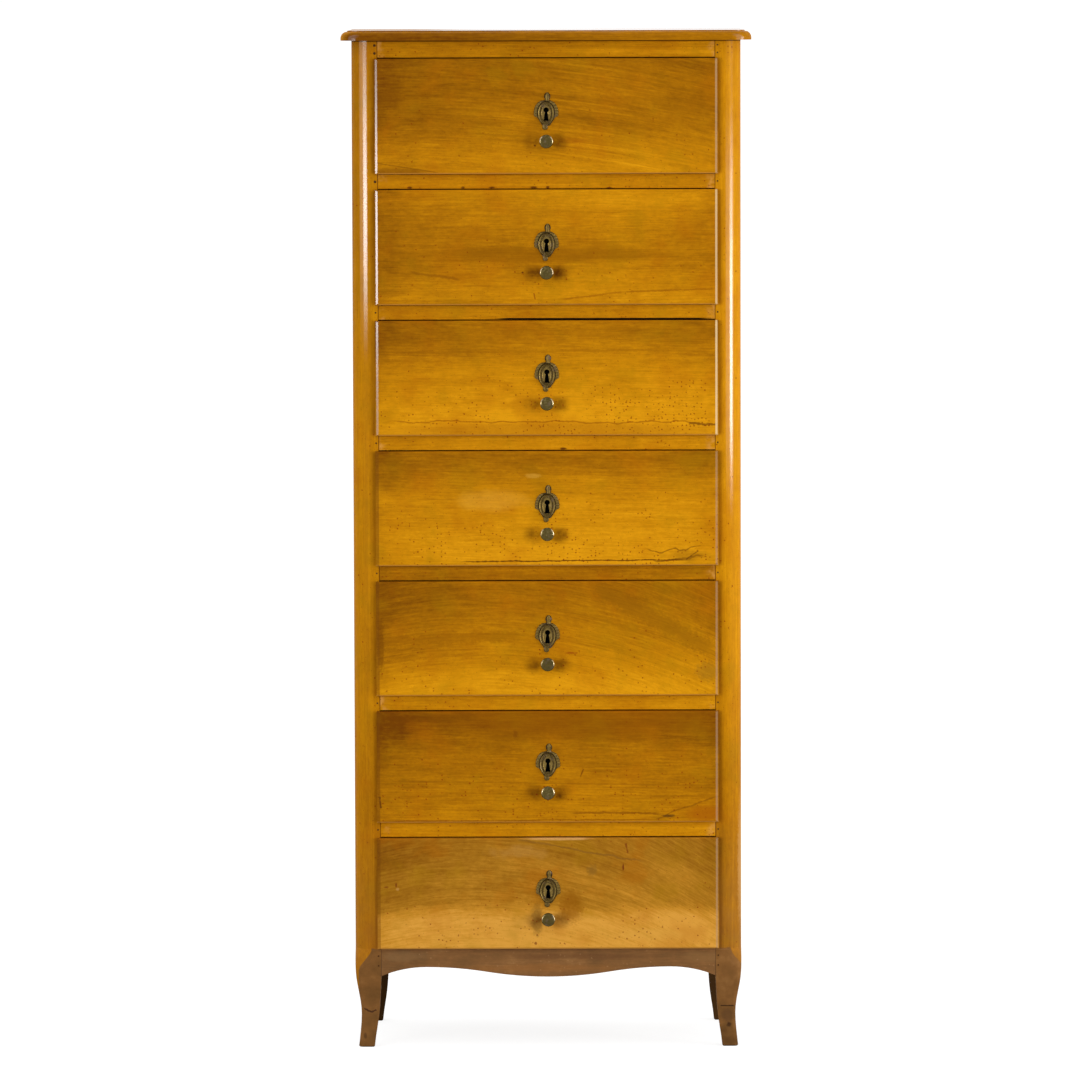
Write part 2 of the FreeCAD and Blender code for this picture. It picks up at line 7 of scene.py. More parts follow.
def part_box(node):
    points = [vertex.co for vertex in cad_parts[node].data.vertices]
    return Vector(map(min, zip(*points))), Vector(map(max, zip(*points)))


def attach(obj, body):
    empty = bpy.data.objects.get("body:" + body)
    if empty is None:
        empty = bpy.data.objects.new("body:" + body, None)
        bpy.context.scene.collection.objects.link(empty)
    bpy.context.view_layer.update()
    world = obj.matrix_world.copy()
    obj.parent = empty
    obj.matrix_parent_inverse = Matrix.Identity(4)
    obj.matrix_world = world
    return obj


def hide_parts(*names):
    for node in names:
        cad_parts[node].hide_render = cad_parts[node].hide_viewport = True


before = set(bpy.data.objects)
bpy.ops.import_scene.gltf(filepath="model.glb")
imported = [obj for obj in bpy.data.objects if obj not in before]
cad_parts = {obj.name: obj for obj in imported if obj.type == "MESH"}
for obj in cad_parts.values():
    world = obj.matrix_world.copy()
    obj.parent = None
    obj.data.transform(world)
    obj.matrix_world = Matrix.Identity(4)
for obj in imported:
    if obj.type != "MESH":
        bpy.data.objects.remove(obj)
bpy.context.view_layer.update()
bpy.context.scene.view_settings.view_transform = "Standard"
print("frame loaded with", len(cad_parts), "nodes")

mm = 0.001
drawerNumbers = range(1, 8)  # drawer 1 is the top one
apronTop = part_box("front_apron")[1].z  # height at which the legs meet the posts
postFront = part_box("front_post_right")[0].y
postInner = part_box("front_post_right")[0].x  # middle plane to the inner face of a front post
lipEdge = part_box("drawer_1_front")[1].x  # middle plane to the edge of a drawer's lip
knobRadius = 9.75 * mm
plateFoot = 23.5 * mm  # foot of a keyhole plate to the middle of its ovals
railDrop = 11 * mm  # foot of a drawer front to the middle of the rail below it


def frontBox(number):  # lowest and highest corner of a drawer front
    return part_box("drawer_%d_front" % number)


def tone(red, green, blue):  # a colour as it is seen on a screen, 0 to 255, made linear
    def linear(level):
        level /= 255
        return level / 12.92 if level <= 0.04045 else ((level + 0.055) / 1.055) ** 2.4
    return (linear(red), linear(green), linear(blue), 1.0)


railMiddles = [frontBox(number)[0].z - railDrop for number in drawerNumbers[:-1]]


# sockets and materials

class Value:  # wraps a socket, so that sums on it add Math nodes
    def __init__(self, finish, socket):
        self.finish = finish
        self.socket = socket

    def __add__(self, other):
        return self.finish.maths("ADD", self, other)

    def __sub__(self, other):
        return self.finish.maths("SUBTRACT", self, other)

    def __rsub__(self, other):
        return self.finish.maths("SUBTRACT", other, self)

    def __mul__(self, other):
        return self.finish.maths("MULTIPLY", self, other)

    def __truediv__(self, other):
        return self.finish.maths("DIVIDE", self, other)

    def __pow__(self, other):
        return self.finish.maths("POWER", self, other)

    def __abs__(self):
        return self.finish.maths("ABSOLUTE", self)

    def __neg__(self):
        return self.finish.maths("MULTIPLY", self, -1.0)

    __radd__ = __add__
    __rmul__ = __mul__

    def smooth(self, low, high):  # 0 below low, 1 above high, and smooth between them
        return self.finish.add("ShaderNodeMapRange", {"interpolation_type": "SMOOTHSTEP"},
                               {"Value": self, "From Min": low, "From Max": high})

    def below(self, low, high):  # the other way round
        return 1 - self.smooth(low, high)

    def most(self, other):
        return self.finish.maths("MAXIMUM", self, other)


class Finish:  # one material, or the world, and its nodes
    def __init__(self, owner):
        owner.use_nodes = True
        self.owner = owner
        self.tree = owner.node_tree
        self.tree.nodes.clear()

    def add(self, kind, settings, inputs, output=0):
        node = self.tree.nodes.new(kind)
        for name, value in settings.items():
            if name == "stops":
                self.setStops(node.color_ramp, value)
            else:
                setattr(node, name, value)
        for name, value in inputs.items():
            if isinstance(value, Value):
                self.tree.links.new(value.socket, node.inputs[name])
            else:
                node.inputs[name].default_value = value
        return Value(self, node.outputs[output] if node.outputs else None)

    def setStops(self, ramp, stops):
        while len(ramp.elements) < len(stops):
            ramp.elements.new(0.5)
        for element, (place, colour) in zip(ramp.elements, stops):
            element.position = place
            element.color = tone(*colour)

    def maths(self, operation, *terms):
        return self.add("ShaderNodeMath", {"operation": operation}, dict(enumerate(terms)))

    def mix(self, share, first, second):  # a colour between two colours
        return self.add("ShaderNodeMix", {"data_type": "RGBA"}, {0: share, 6: first, 7: second}, 2)

    def ramp(self, light, stops):  # a colour for each lightness
        return self.add("ShaderNodeValToRGB", {"stops": stops}, {"Fac": light})

    def place(self):  # where a point lies on the piece, in metres
        return self.add("ShaderNodeTexCoord", {}, {}, "Object")

    def point(self):  # x, y and z of that place
        return self.parts(self.place())

    def parts(self, vector):
        node = self.add("ShaderNodeSeparateXYZ", {}, {"Vector": vector}).socket.node
        return [Value(self, node.outputs[axis]) for axis in ("X", "Y", "Z")]

    def whole(self, x, y, z):
        return self.add("ShaderNodeCombineXYZ", {}, {"X": x, "Y": y, "Z": z})

    def facing(self):  # the parts of the direction that a surface faces
        return self.parts(self.add("ShaderNodeNewGeometry", {}, {}, "Normal"))

    def noise(self, vector, scale, detail=3.0, roughness=0.55):
        return self.add("ShaderNodeTexNoise", {}, {"Vector": vector, "Scale": scale, "Detail": detail,
                                                   "Roughness": roughness})

    def mottle(self, scale, detail=3.0, roughness=0.55):  # noise that stays with the piece
        return self.noise(self.place(), scale, detail, roughness)

    def streaks(self, vector, along, across, detail, roughness=0.55):  # noise drawn out along the grain
        scale = (along, across, across)
        drawn = self.add("ShaderNodeMapping", {}, {"Vector": vector, "Scale": scale})
        return self.noise(drawn, 1.0, detail, roughness)

    def bump(self, height, distance, strength):
        return self.add("ShaderNodeBump", {}, {"Strength": strength, "Distance": distance, "Height": height})

    def surface(self, **sockets):
        inputs = {name.replace("_", " "): value for name, value in sockets.items()}
        shader = self.add("ShaderNodeBsdfPrincipled", {}, inputs)
        self.add("ShaderNodeOutputMaterial", {}, {"Surface": shader})
        return self.owner


def newFinish(name):
    return Finish(bpy.data.materials.new(name))


def newObject(name, data):
    item = bpy.data.objects.new(name, data)
    bpy.context.scene.collection.objects.link(item)
    return item


# camera

cameraLook = {
    "distance": 10.4,  # in front of the case
    "height": 1.531,
    "pitch": 4.421,  # degrees down
    "yaw": 0.057,  # degrees to the left
    "roll": -0.164,
    "focal": 7336,  # pixels
    "imageSize": 1080,
}


def makeCamera():
    data = bpy.data.cameras.new("camera")
    data.sensor_width = 36
    data.lens = cameraLook["focal"] / cameraLook["imageSize"] * data.sensor_width
    data.clip_end = 1000
    camera = newObject("camera", data)
    turn = Matrix.Rotation(math.radians(cameraLook["yaw"]), 4, "Z")
    turn @= Matrix.Rotation(math.radians(90 - cameraLook["pitch"]), 4, "X")
    turn @= Matrix.Rotation(math.radians(cameraLook["roll"]), 4, "Z")
    stand = Matrix.Translation((0, postFront - cameraLook["distance"], cameraLook["height"]))
    camera.matrix_world = stand @ turn
    bpy.context.scene.camera = camera


makeCamera()
print("camera placed")


# light and floor

lights = {  # place, width and height in metres, watts
    "leftSoftbox": {"place": (-2.52, -3.25, 1.04), "size": (1.8, 0.42), "watts": 36},
    "rightStrip": {"place": (3.62, -2.06, 0.80), "size": (1.1, 0.42), "watts": 23},
    "rightPanel": {"place": (2.93, -0.75, 1.0), "size": (2.0, 2.0), "watts": 40},
}
stageLook = {"worldLight": 1.0, "floorColour": (0.3, 0.3, 0.3, 1), "floorGlow": 0.82, "floorReach": 400}


def makeLights():
    for name, look in lights.items():
        data = bpy.data.lights.new(name, "AREA")
        data.shape = "RECTANGLE"
        data.size, data.size_y = look["size"]
        data.energy = look["watts"]
        lamp = newObject(name, data)
        lamp.location = look["place"]
        level = Vector((0, 0, look["place"][2]))
        lamp.rotation_euler = (level - Vector(look["place"])).to_track_quat("-Z", "Y").to_euler()


def seenDirectly(finish):  # 1 for rays from the camera and for mirrored or refracted ones
    path = finish.add("ShaderNodeLightPath", {}, {}).socket.node
    camera, glossy, through = [Value(finish, path.outputs[name]) for name in
                               ("Is Camera Ray", "Is Glossy Ray", "Is Transmission Ray")]
    return camera.most(glossy).most(through)


def makeWorld():
    world = bpy.context.scene.world or bpy.data.worlds.new("world")
    bpy.context.scene.world = world
    finish = Finish(world)
    strength = finish.add("ShaderNodeMapRange", {}, {"Value": seenDirectly(finish),
                                                     "To Min": stageLook["worldLight"], "To Max": 1.0})
    background = finish.add("ShaderNodeBackground", {}, {"Color": (1, 1, 1, 1), "Strength": strength})
    finish.add("ShaderNodeOutputWorld", {}, {"Surface": background})


def makeFloor():
    reach = stageLook["floorReach"]
    mesh = bpy.data.meshes.new("floor")
    mesh.from_pydata([(-reach, -reach, 0), (reach, -reach, 0), (reach, reach, 0), (-reach, reach, 0)],
                     [], [(0, 1, 2, 3)])
    floor = newObject("floor", mesh)
    finish = newFinish("paleFloor")
    plain = finish.add("ShaderNodeBsdfDiffuse", {}, {"Color": stageLook["floorColour"]})
    glow = seenDirectly(finish) * stageLook["floorGlow"]
    white = finish.add("ShaderNodeEmission", {}, {"Color": (1, 1, 1, 1), "Strength": glow})
    shader = finish.add("ShaderNodeAddShader", {}, {0: plain, 1: white})
    finish.add("ShaderNodeOutputMaterial", {}, {"Surface": shader})
    mesh.materials.append(finish.owner)


makeLights()
makeWorld()
makeFloor()
print("light and floor made")


# wood: a lightness that follows the figure, and a tone for each lightness

honeyTones = [(0.0, (112, 60, 2)), (0.25, (140, 86, 2)), (0.5, (172, 110, 4)), (0.75, (200, 133, 6)),
              (1.0, (224, 154, 14))]
greyTones = [(0.0, (112, 62, 8)), (0.25, (140, 88, 12)), (0.5, (168, 114, 26)), (0.75, (198, 137, 40)),
             (1.0, (220, 158, 62))]
brownTones = [(0.0, (78, 50, 24)), (0.35, (108, 74, 38)), (0.65, (130, 88, 46)), (1.0, (160, 116, 66))]
plainTones = [(0.0, (120, 84, 48)), (0.4, (158, 118, 74)), (0.7, (184, 146, 98)), (1.0, (212, 178, 130))]

figureLook = {  # per metre along and across the grain, and its weight
    "patches": (9, 24, 0.42),
    "clouds": (42, 60, 0.20),
    "streaks": (4.5, 125, 0.22),
    "strokes": (55, 330, 0.26),
    "grit": (150, 280, 0.32),
    "fibres": (24, 520, 0.42),  # they also make the wood rough
}
wormLook = {"spacing": 5.6 * mm, "radius": 1.1 * mm, "clusters": 24}
wornTone = tone(82, 34, 4)
speckTone = tone(126, 30, 2)


def grainPlace(finish, grain, seed):  # coordinates with the grain along x, different for each seed
    x, y, z = finish.point()
    along, deep, across = {"x": (x, y, z), "y": (y, x, z), "z": (z, y, x)}[grain]
    return finish.whole(along + seed * 1.37, deep + seed * 0.73, across + seed * 2.11)


def woodFigure(finish, place, plain=1.0, pale=0.1):  # patches, streaks, fibres and fine lines
    total = 0.0
    for along, across, weight in figureLook.values():
        fibres = finish.streaks(place, along, across, 3.0, 0.6)
        total = (fibres - 0.5) * (weight * plain) + total
    lines = finish.streaks(place, 1.3, 190, 1.0, 0.5).smooth(0.60, 0.70)
    shining = finish.streaks(place, 2.2, 160, 1.0, 0.5).smooth(0.60, 0.72)
    flecks = finish.streaks(place, 36, 270, 2.0, 0.6).smooth(0.60, 0.80)
    return total - lines * 0.06 + shining * pale + flecks * 0.08, fibres


def board(name, grain, seed, plain=1.0):  # a new finish, the place on the piece, and the wood's figure
    finish = newFinish(name)
    x, y, z = finish.point()
    figure, fibres = woodFigure(finish, grainPlace(finish, grain, seed), plain)
    return finish, x, y, z, figure, fibres


def wormHoles(finish, share, where, across="XZ"):  # 1 in round holes, in a share of the cells
    places = dict(zip("XYZ", finish.point()))
    flat = finish.whole(places[across[0]], places[across[1]], 0.0)
    spacing = wormLook["spacing"]
    cells = finish.add("ShaderNodeTexVoronoi", {"voronoi_dimensions": "2D"},
                       {"Vector": flat, "Scale": 1 / spacing})
    pick, depth = finish.parts(Value(finish, cells.socket.node.outputs["Color"]))[:2]
    size = wormLook["radius"] / spacing
    reach = cells + (finish.mottle(900, 2.0) - 0.5) * 0.36
    clusters = finish.mottle(wormLook["clusters"], 2.0).smooth(0.36, 0.62)
    chosen = (pick - clusters * where * (share * 2)).below(-0.01, 0.01)
    return reach.below(size * 0.4, size * 1.3) * chosen * (depth * 0.5 + 0.5)


def specked(finish, colour, share, where=1.0):  # small dark specks, some of them from worm
    holes = wormHoles(finish, share, where)
    colour = finish.mix(holes * 0.9, colour, speckTone)
    dots = finish.mottle(560, 1.0).smooth(0.70, 0.75)
    return finish.mix(dots * 0.6, colour, tone(116, 48, 4)), holes


def tinted(finish, colour):  # here redder, there greener
    hue = finish.mottle(17, 3.0, 0.6)
    colour = finish.mix(hue.smooth(0.50, 0.75) * 0.35, colour, tone(176, 98, 2))
    return finish.mix(hue.below(0.28, 0.48) * 0.30, colour, tone(160, 116, 4))


def wax(finish):  # wax gathers on rounds and bevels, and flat faces are duller
    front = abs(finish.facing()[1])
    return front.smooth(0.78, 0.84) * front.below(0.966, 0.984)


def blot(at, size, shade, share, ragged=0.9):  # an oval mark: middle and half size in mm, tone, strength
    return {"at": at, "size": size, "tone": shade, "share": share, "ragged": ragged}


def scratch(start, end, width, shade, share, waver=3, rough=1.6):  # a thin mark between two points in mm
    return {"from": start, "to": end, "width": width, "tone": shade, "share": share, "waver": waver,
            "rough": rough}


def ovalPlace(x, z, halves):  # 0 in the middle of an oval, 1 on its edge
    across, up = x / (halves[0] * mm), z / (halves[1] * mm)
    return (across * across + up * up) ** 0.5


def spot(x, z, look, ragged):  # 1 within an oval with a ragged edge
    reach = ovalPlace(x - look["at"][0] * mm, z - look["at"][1] * mm, look["size"])
    reach = reach + (ragged - 0.5) * look["ragged"]
    return reach.below(0.45, 1.15) * look["share"]


def crack(x, z, look, ragged, fine):  # 1 along a thin wavering line
    startX, startZ = [place * mm for place in look["from"]]
    runX, runZ = look["to"][0] * mm - startX, look["to"][1] * mm - startZ
    length = math.hypot(runX, runZ)
    along = (x - startX) * (runX / length) + (z - startZ) * (runZ / length)
    off = (x - startX) * (runZ / length) - (z - startZ) * (runX / length)
    off = abs(off + (ragged - 0.5) * (look["waver"] * mm))
    width = look["width"] * mm
    off = off + (fine - 0.5) * (width * look["rough"])
    ends = along.smooth(0, length * 0.08) * along.below(length * 0.9, length)
    return off.below(width * 0.3, width) * ends * look["share"]


def marked(finish, colour, x, z, marks):
    fine = finish.mottle(260, 2.0)
    slow = finish.mottle(34, 2.0)
    for look in marks:
        if "from" in look:
            mask = crack(x, z, look, slow, fine)
        else:
            mask = spot(x, z, look, slow if look["size"][0] > 20 else fine) * (fine * 0.8 + 0.6)
        colour = finish.mix(mask, colour, tone(*look["tone"]))
    return colour


def dull(finish, colour, roughness, specular, normal):
    return finish.surface(Base_Color=colour, Roughness=roughness, Specular_IOR_Level=specular, Normal=normal)


def waxed(finish, colour, roughness, height, coat):
    return finish.surface(Base_Color=colour, Roughness=roughness, Specular_IOR_Level=0.03,
                          Coat_Weight=coat, Coat_IOR=1.6, Coat_Roughness=0.15,
                          Normal=finish.bump(height, 0.2 * mm, 0.3))


# drawer fronts: each board has its own lightness, run of the grain and marks

frontLook = {  # lightness at the top, the middle and the foot of the board
    1: {"levels": (0.34, 0.42, 0.68), "slope": 0.07, "tilt": 1, "arch": (250, 0.25), "pale": 0.16,
        "worm": 0.05, "seed": 3, "knobShadowSmudge": 0.70, "gloss": 1, "edgeHighlight": 0.2, "marks": [
        blot((-214, 2), (52, 8), (132, 80, 6), 0.7, 0.3),
        scratch((-242, 16), (-150, 1.5), 1.1, (104, 58, 4), 0.5, 1),
        blot((-222, 106), (28, 12), (122, 70, 2), 0.45, 1.4),
        blot((40, 46), (22, 5), (150, 74, 4), 0.4, 2.4),
        blot((-16, 40), (2, 1.6), (84, 30, 2), 0.9)]},
    2: {"levels": (0.66, 0.47, 0.66), "slope": 0.09, "tilt": 0,
        "worm": 0.05, "seed": 11, "knobShadowSmudge": 0.95, "gloss": 1, "edgeHighlight": 0.55, "marks": [
        scratch((20, 7), (112, 18.5), 1.8, (146, 82, 4), 0.5),
        scratch((106, 18), (243, 22), 1.8, (140, 78, 4), 0.5),
        scratch((-195, 47), (-120, 35), 2.6, (128, 74, 4), 0.5, 6),
        blot((0, 72), (215, 13), (142, 86, 2), 0.5, 0.6),
        blot((-34, 46), (2, 1.4), (96, 40, 4), 0.9),
        scratch((-18, 17), (-16, 7), 1.3, (150, 72, 8), 0.8, 1)]},
    3: {"levels": (0.40, 0.72, 0.95), "slope": 0.05, "tilt": -1, "worm": 0.32,
        "wormFrom": (-0.24, 0.08), "seed": 19, "knobShadowSmudge": 0.70, "gloss": 1, "edgeHighlight": 0.7, "marks": [
        blot((0, 7), (280, 14), (170, 104, 8), 0.5, 0.5),
        scratch((-243, 20), (243, 17), 1.5, (146, 80, 4), 0.6, 12),
        scratch((200, 17), (243, 14), 2.2, (96, 50, 6), 0.7, 4),
        scratch((-230, 118), (180, 121), 3, (140, 84, 2), 0.35)]},
    4: {"levels": (0.42, 0.75, 0.87), "slope": 0.04, "tilt": -1,
        "worm": 0.19, "seed": 27, "knobShadowSmudge": 0.75, "marks": [
        scratch((-131, 6), (214, 8), 1.3, (84, 42, 4), 0.85, 4),
        scratch((196, 8), (216, 21), 1.2, (84, 42, 4), 0.8),
        scratch((140, 20), (222, 27), 1.5, (96, 50, 4), 0.6, 24),
        scratch((150, 5), (224, 13), 2.0, (96, 50, 4), 0.6, 16),
        blot((204, 14), (34, 10), (138, 90, 8), 0.4, 1.6),
        blot((-78, 92), (62, 17), (222, 162, 50), 0.34, 1.1),
        blot((-20, 128), (13, 4), (220, 164, 60), 0.4, 1.0)]},
    5: {"levels": (0.37, 0.53, 0.88), "slope": 0.06, "tilt": 0, "arch": (100, 0.67),
        "worm": 0.07, "seed": 35, "knobShadowSmudge": 0.75, "marks": [
        scratch((-242, 78), (-30, 86), 10, (146, 88, 2), 0.45, 8),
        scratch((60, 160), (243, 58), 18, (142, 90, 4), 0.5, 12),
        blot((34, 61), (9, 1.8), (146, 62, 4), 0.7, 1.4),
        blot((-237, 70), (6, 42), (112, 62, 2), 0.6, 1.4),
        blot((226, 34), (18, 16), (140, 96, 22), 0.45, 1.4)]},
    6: {"levels": (0.22, 0.46, 0.58), "slope": 0.02, "tilt": -1,
        "worm": 0.12, "seed": 43, "knobShadowSmudge": 0.80, "marks": [
        blot((40, 150), (250, 36), (144, 82, 2), 0.5, 0.6),
        blot((-160, 150), (70, 7), (110, 62, 2), 0.4),
        scratch((-240, 60), (240, 52), 1.4, (128, 76, 4), 0.3),
        blot((224, 12), (34, 13), (166, 92, 4), 0.7, 0.8),
        scratch((150, 4), (243, 38), 1.5, (112, 62, 4), 0.5, 6),
        blot((172, 9), (9, 2.6), (84, 52, 14), 0.8, 1.6),
        scratch((30, 14), (164, 13), 2.2, (110, 54, 4), 0.55, 9),
        scratch((-238, 2.4), (172, 4), 1.4, (110, 50, 4), 0.5),
        scratch((-240, 38), (-238, 20), 1.9, (84, 42, 6), 0.8, 2),
        blot((-46, 126), (4, 8), (116, 62, 4), 0.5, 1.2),
        scratch((46, 65), (51, 77), 1.4, (116, 58, 4), 0.75, 1)]},
    7: {"levels": (0.40, 0.50, 0.93), "slope": 0.03, "tilt": 0, "arch": (110, 0.9),
        "tones": greyTones, "turn": (0.24, 0.44), "worm": 0.08, "seed": 51, "knobShadowSmudge": 0.65, "marks": [
        blot((32, 62), (20, 27), (144, 86, 6), 0.7, 1.0),
        blot((63, 113), (9, 9), (120, 88, 34), 0.45, 1.4),
        scratch((-50, 159), (140, 124), 2, (126, 84, 28), 0.6, 12),
        scratch((111, 152), (114, 136), 1.9, (124, 60, 14), 0.8),
        blot((107, 117), (1.6, 6), (112, 48, 14), 0.9),
        blot((-16, 42), (9, 26), (116, 84, 30), 0.6, 1.1),
        blot((16, 158), (50, 2.4), (222, 170, 106), 0.55, 1.0),
        blot((-40, 138), (44, 12), (188, 138, 66), 0.35, 1.8),
        blot((-215, 86), (3, 2.4), (206, 156, 90), 0.4),
        blot((-217, 92), (1.6, 4), (116, 52, 14), 0.8),
        blot((-231, 89), (3.4, 1.2), (116, 52, 14), 0.7),
        blot((-18, 8), (2.4, 2.4), (120, 50, 16), 0.8),
        blot((-16, 20), (1.4, 1.8), (120, 50, 16), 0.8),
        blot((150, 20), (60, 10), (216, 160, 66), 0.35)]},
}

edgeLook = {  # the same on every drawer front, in mm
    "bevel": 4.9,  # where the bevel of the lip starts, in from its end
    "shineEnd": 2.0,  # where the wax and the painted highlight on it stop
    "foot": 2.4,  # height of the painted highlight along the foot
    "knobShadowSmudge": (18, 16),  # painted shadow of the knob and grime from hands beside it: half the width and height
    "slot": (4.8, 13),  # painted shade behind the keyhole: half its width and height
}


def frontFigure(finish, look, x, y, z):  # the grain runs tilted and bent
    crown, bend = look.get("arch", (0, 0.0))
    bent = (x + crown * mm) * (x + crown * mm) * bend
    across = z - x * math.tan(math.radians(look["tilt"])) + bent
    seed = look["seed"]
    place = finish.whole(x + seed * 1.37, y + seed * 0.73, across + seed * 2.11)
    return woodFigure(finish, place, pale=x.smooth(-0.12, 0.12) * look.get("pale", 0.06))


def frontLight(finish, look, side, rise):  # side is -1 to 1 across the board, rise 0 to 1 up it
    top, middle, foot = look["levels"]
    turn = look.get("turn", (0.05, 0.50))  # share of the height where the foot turns into the middle
    light = rise.smooth(*turn) * (middle - foot) + rise.smooth(0.50, 0.95) * (top - middle) + foot
    ends = abs(side).smooth(0.80, 1.0) * finish.mottle(30, 2.0).smooth(0.35, 0.65)
    corner = side.below(-1.0, -0.45) * rise.smooth(0.45, 0.9)
    return light + side * look["slope"] + (0.05 - side * side * 0.08) - ends * 0.12 - corner * 0.13


def knobShadowAndGrime(finish, colour, x, z, share):  # painted shadow of the knob, and grime from hands, on both sides of the knob
    knobShadowSmudge = 1 - ovalPlace(abs(x) - edgeLook["knobShadowSmudge"][0] * mm, z + 2 * mm, edgeLook["knobShadowSmudge"])
    knobShadowSmudge = knobShadowSmudge.smooth(-0.1, 0.9) * (finish.mottle(80) * 2.0 - 0.2)
    return finish.mix(knobShadowSmudge * share, colour, tone(98, 52, 2))


def keyholeShade(finish, colour, x, z):
    # painted shade: the wood behind the keyhole made near black
    wide, tall = [half * mm for half in edgeLook["slot"]]
    slot = abs(x).below(wide - 0.2 * mm, wide) * abs(z).below(tall - 0.5 * mm, tall)
    return finish.mix(slot, colour, tone(10, 6, 3))


def lipEdges(finish, look, colour, x, z, end):  # a painted highlight along the foot, and the bevels with the shine on them, with a painted highlight on the right bevel
    # painted highlight along the foot of the front
    foot = z.below(0.3 * mm, edgeLook["foot"] * mm)
    colour = finish.mix(foot * 0.75, colour, tone(218, 152, 66))
    bevel = end - edgeLook["bevel"] * mm
    edge = abs(x).smooth(bevel, bevel + 0.5 * mm)
    colour = finish.mix(edge * 0.45, colour, tone(120, 70, 4))
    shineEnd = end - edgeLook["shineEnd"] * mm
    band = edge * abs(x).below(shineEnd, shineEnd + 0.7 * mm)
    right = x.smooth(0.0, 0.01) * 0.8
    # painted highlight on the right bevel
    colour = finish.mix(band * right * look.get("edgeHighlight", 0.1), colour, tone(246, 218, 160))
    return colour, band * (right.most(1 - right) if look.get("gloss") else right)


def frontWood(number):
    look = frontLook[number]
    low, high = frontBox(number)
    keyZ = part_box("drawer_%d_escutcheon" % number)[0].z + plateFoot - low.z
    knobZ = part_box("drawer_%d_knob" % number)[0].z + knobRadius - low.z
    finish = newFinish("drawer%dWood" % number)
    x, y, z = finish.point()
    z = z - low.z
    rise = z / (high.z - low.z)
    figure, fibres = frontFigure(finish, look, x, y, z)
    light = frontLight(finish, look, x / high.x, rise) + figure
    colour = tinted(finish, finish.ramp(light, look.get("tones", honeyTones)))
    colour = marked(finish, colour, x, z, look["marks"])
    colour = knobShadowAndGrime(finish, colour, x, z - knobZ, look["knobShadowSmudge"])
    wormy = rise.below(0.1, 0.75)
    if "wormFrom" in look:
        wormy = wormy * (x.smooth(*look["wormFrom"]) * 0.8 + 0.2)
    colour, holes = specked(finish, colour, look["worm"], wormy)
    colour = keyholeShade(finish, colour, x, z - keyZ)
    colour, gloss = lipEdges(finish, look, colour, x, z, high.x)
    roughness = 0.42 + fibres * 0.16 + holes * 0.3
    return waxed(finish, colour, roughness, fibres * 0.5 - holes, wax(finish) * gloss)


# wood of the case

nicks = [((-193, 1228), (4, 2)), ((-118, 1228), (3, 2)), ((-77, 1228), (5, 1.6)), ((-18, 1228), (6, 2)),
         ((2, 1228), (3, 2.4)), ((89, 1227), (5, 1.5)), ((23, 857), (6, 2))]  # in the rails' lower edges
railMarks = [blot(at, size, (96, 46, 6), 0.9) for at, size in nicks]
railMarks.append(scratch((-80, 1042), (246, 1041.4), 1.6, (6, 3, 1), 1.0, 0.6, 0))  # painted shade of the gap over drawer 3
railLook = {"levels": (0.65, 0.67, 0.75, 0.46, 0.75, 0.78),  # lightness of each rail from the top down
            "seed": 14, "marks": railMarks}
legLook = {  # worn brown wood of the legs: its bounds in metres, its marks in mm
    "brownTop": 0.1425, "edge": 0.2710, "edgeTop": 0.2525, "archFoot": 0.110,
    # painted highlight along the ledge where the round of the post stops
    "ledgeHighlight": blot((0, apronTop / mm - 1.5), (276, 1.3), (176, 132, 84), 0.55, 0.3),
    "left": {"wider": 0, "dark": 0, "pale": 0, "stain": 1.0, "above": [], "marks": [
        scratch((-264, 55.5), (-253, 49.5), 1.7, (58, 34, 22), 0.85, 1),
        scratch((-254, 49.5), (-246, 53.5), 1.7, (66, 40, 26), 0.85, 1),
        blot((-262, 16), (3, 5), (66, 44, 24), 0.6)]},
    "right": {"wider": 8, "dark": 0.25, "pale": 0.08, "stain": 1.7,
              # on the right post, a painted highlight: a reflection down its outer edge above the leg
              "above": [blot((275, 262), (5, 100), (206, 158, 92), 0.45, 1.4)], "marks": [
        scratch((245, 58), (266, 58), 1.2, (44, 28, 16), 0.9, 2),
        blot((258, 31), (4, 4), (56, 36, 22), 0.8),
        blot((256, 44), (11, 12), (78, 54, 34), 0.5)]},
}


def jointLine(x):  # dark line where a rail or the apron meets its post
    return (abs(x) - (postInner - 0.9 * mm)).smooth(0, 0.6 * mm) * 0.8


def shadeUnderTop(finish, colour, z):  # painted shadow, a dark line in the corner under the top board
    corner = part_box("top_rail")[1].z
    return finish.mix(z.smooth(corner - 2.4 * mm, corner - 1.0 * mm) * 0.85, colour, tone(58, 30, 4))


def jointAndRub(finish, colour, x):  # dark joint at the ends of a rail, and a rubbed pale patch
    patch = finish.mottle(70, 2.0).smooth(0.44, 0.66)
    paler = (abs(x) - (postInner - 16 * mm)).smooth(0, 11 * mm) * patch * 0.6
    colour = finish.mix(paler, colour, tone(222, 160, 78))
    return finish.mix(jointLine(x), colour, wornTone)


def railWood(name, level, seed):
    finish, x, y, z, figure, fibres = board(name, "x", seed)
    light = figure + level
    if name == "railWood":
        for height, above, below in zip(railMiddles, railLook["levels"], railLook["levels"][1:]):
            light = light + z.below(height - 60 * mm, height - 50 * mm) * (below - above)
    light = light + x * 0.28
    colour = tinted(finish, finish.ramp(light, honeyTones))
    colour = jointAndRub(finish, colour, x)
    if name == "railWood":
        colour = marked(finish, colour, x, z, railLook["marks"])
    else:
        colour = shadeUnderTop(finish, colour, z)
    colour, holes = specked(finish, colour, 0.05)
    return waxed(finish, colour, 0.42 + fibres * 0.16, fibres * 0.5 - holes, wax(finish))


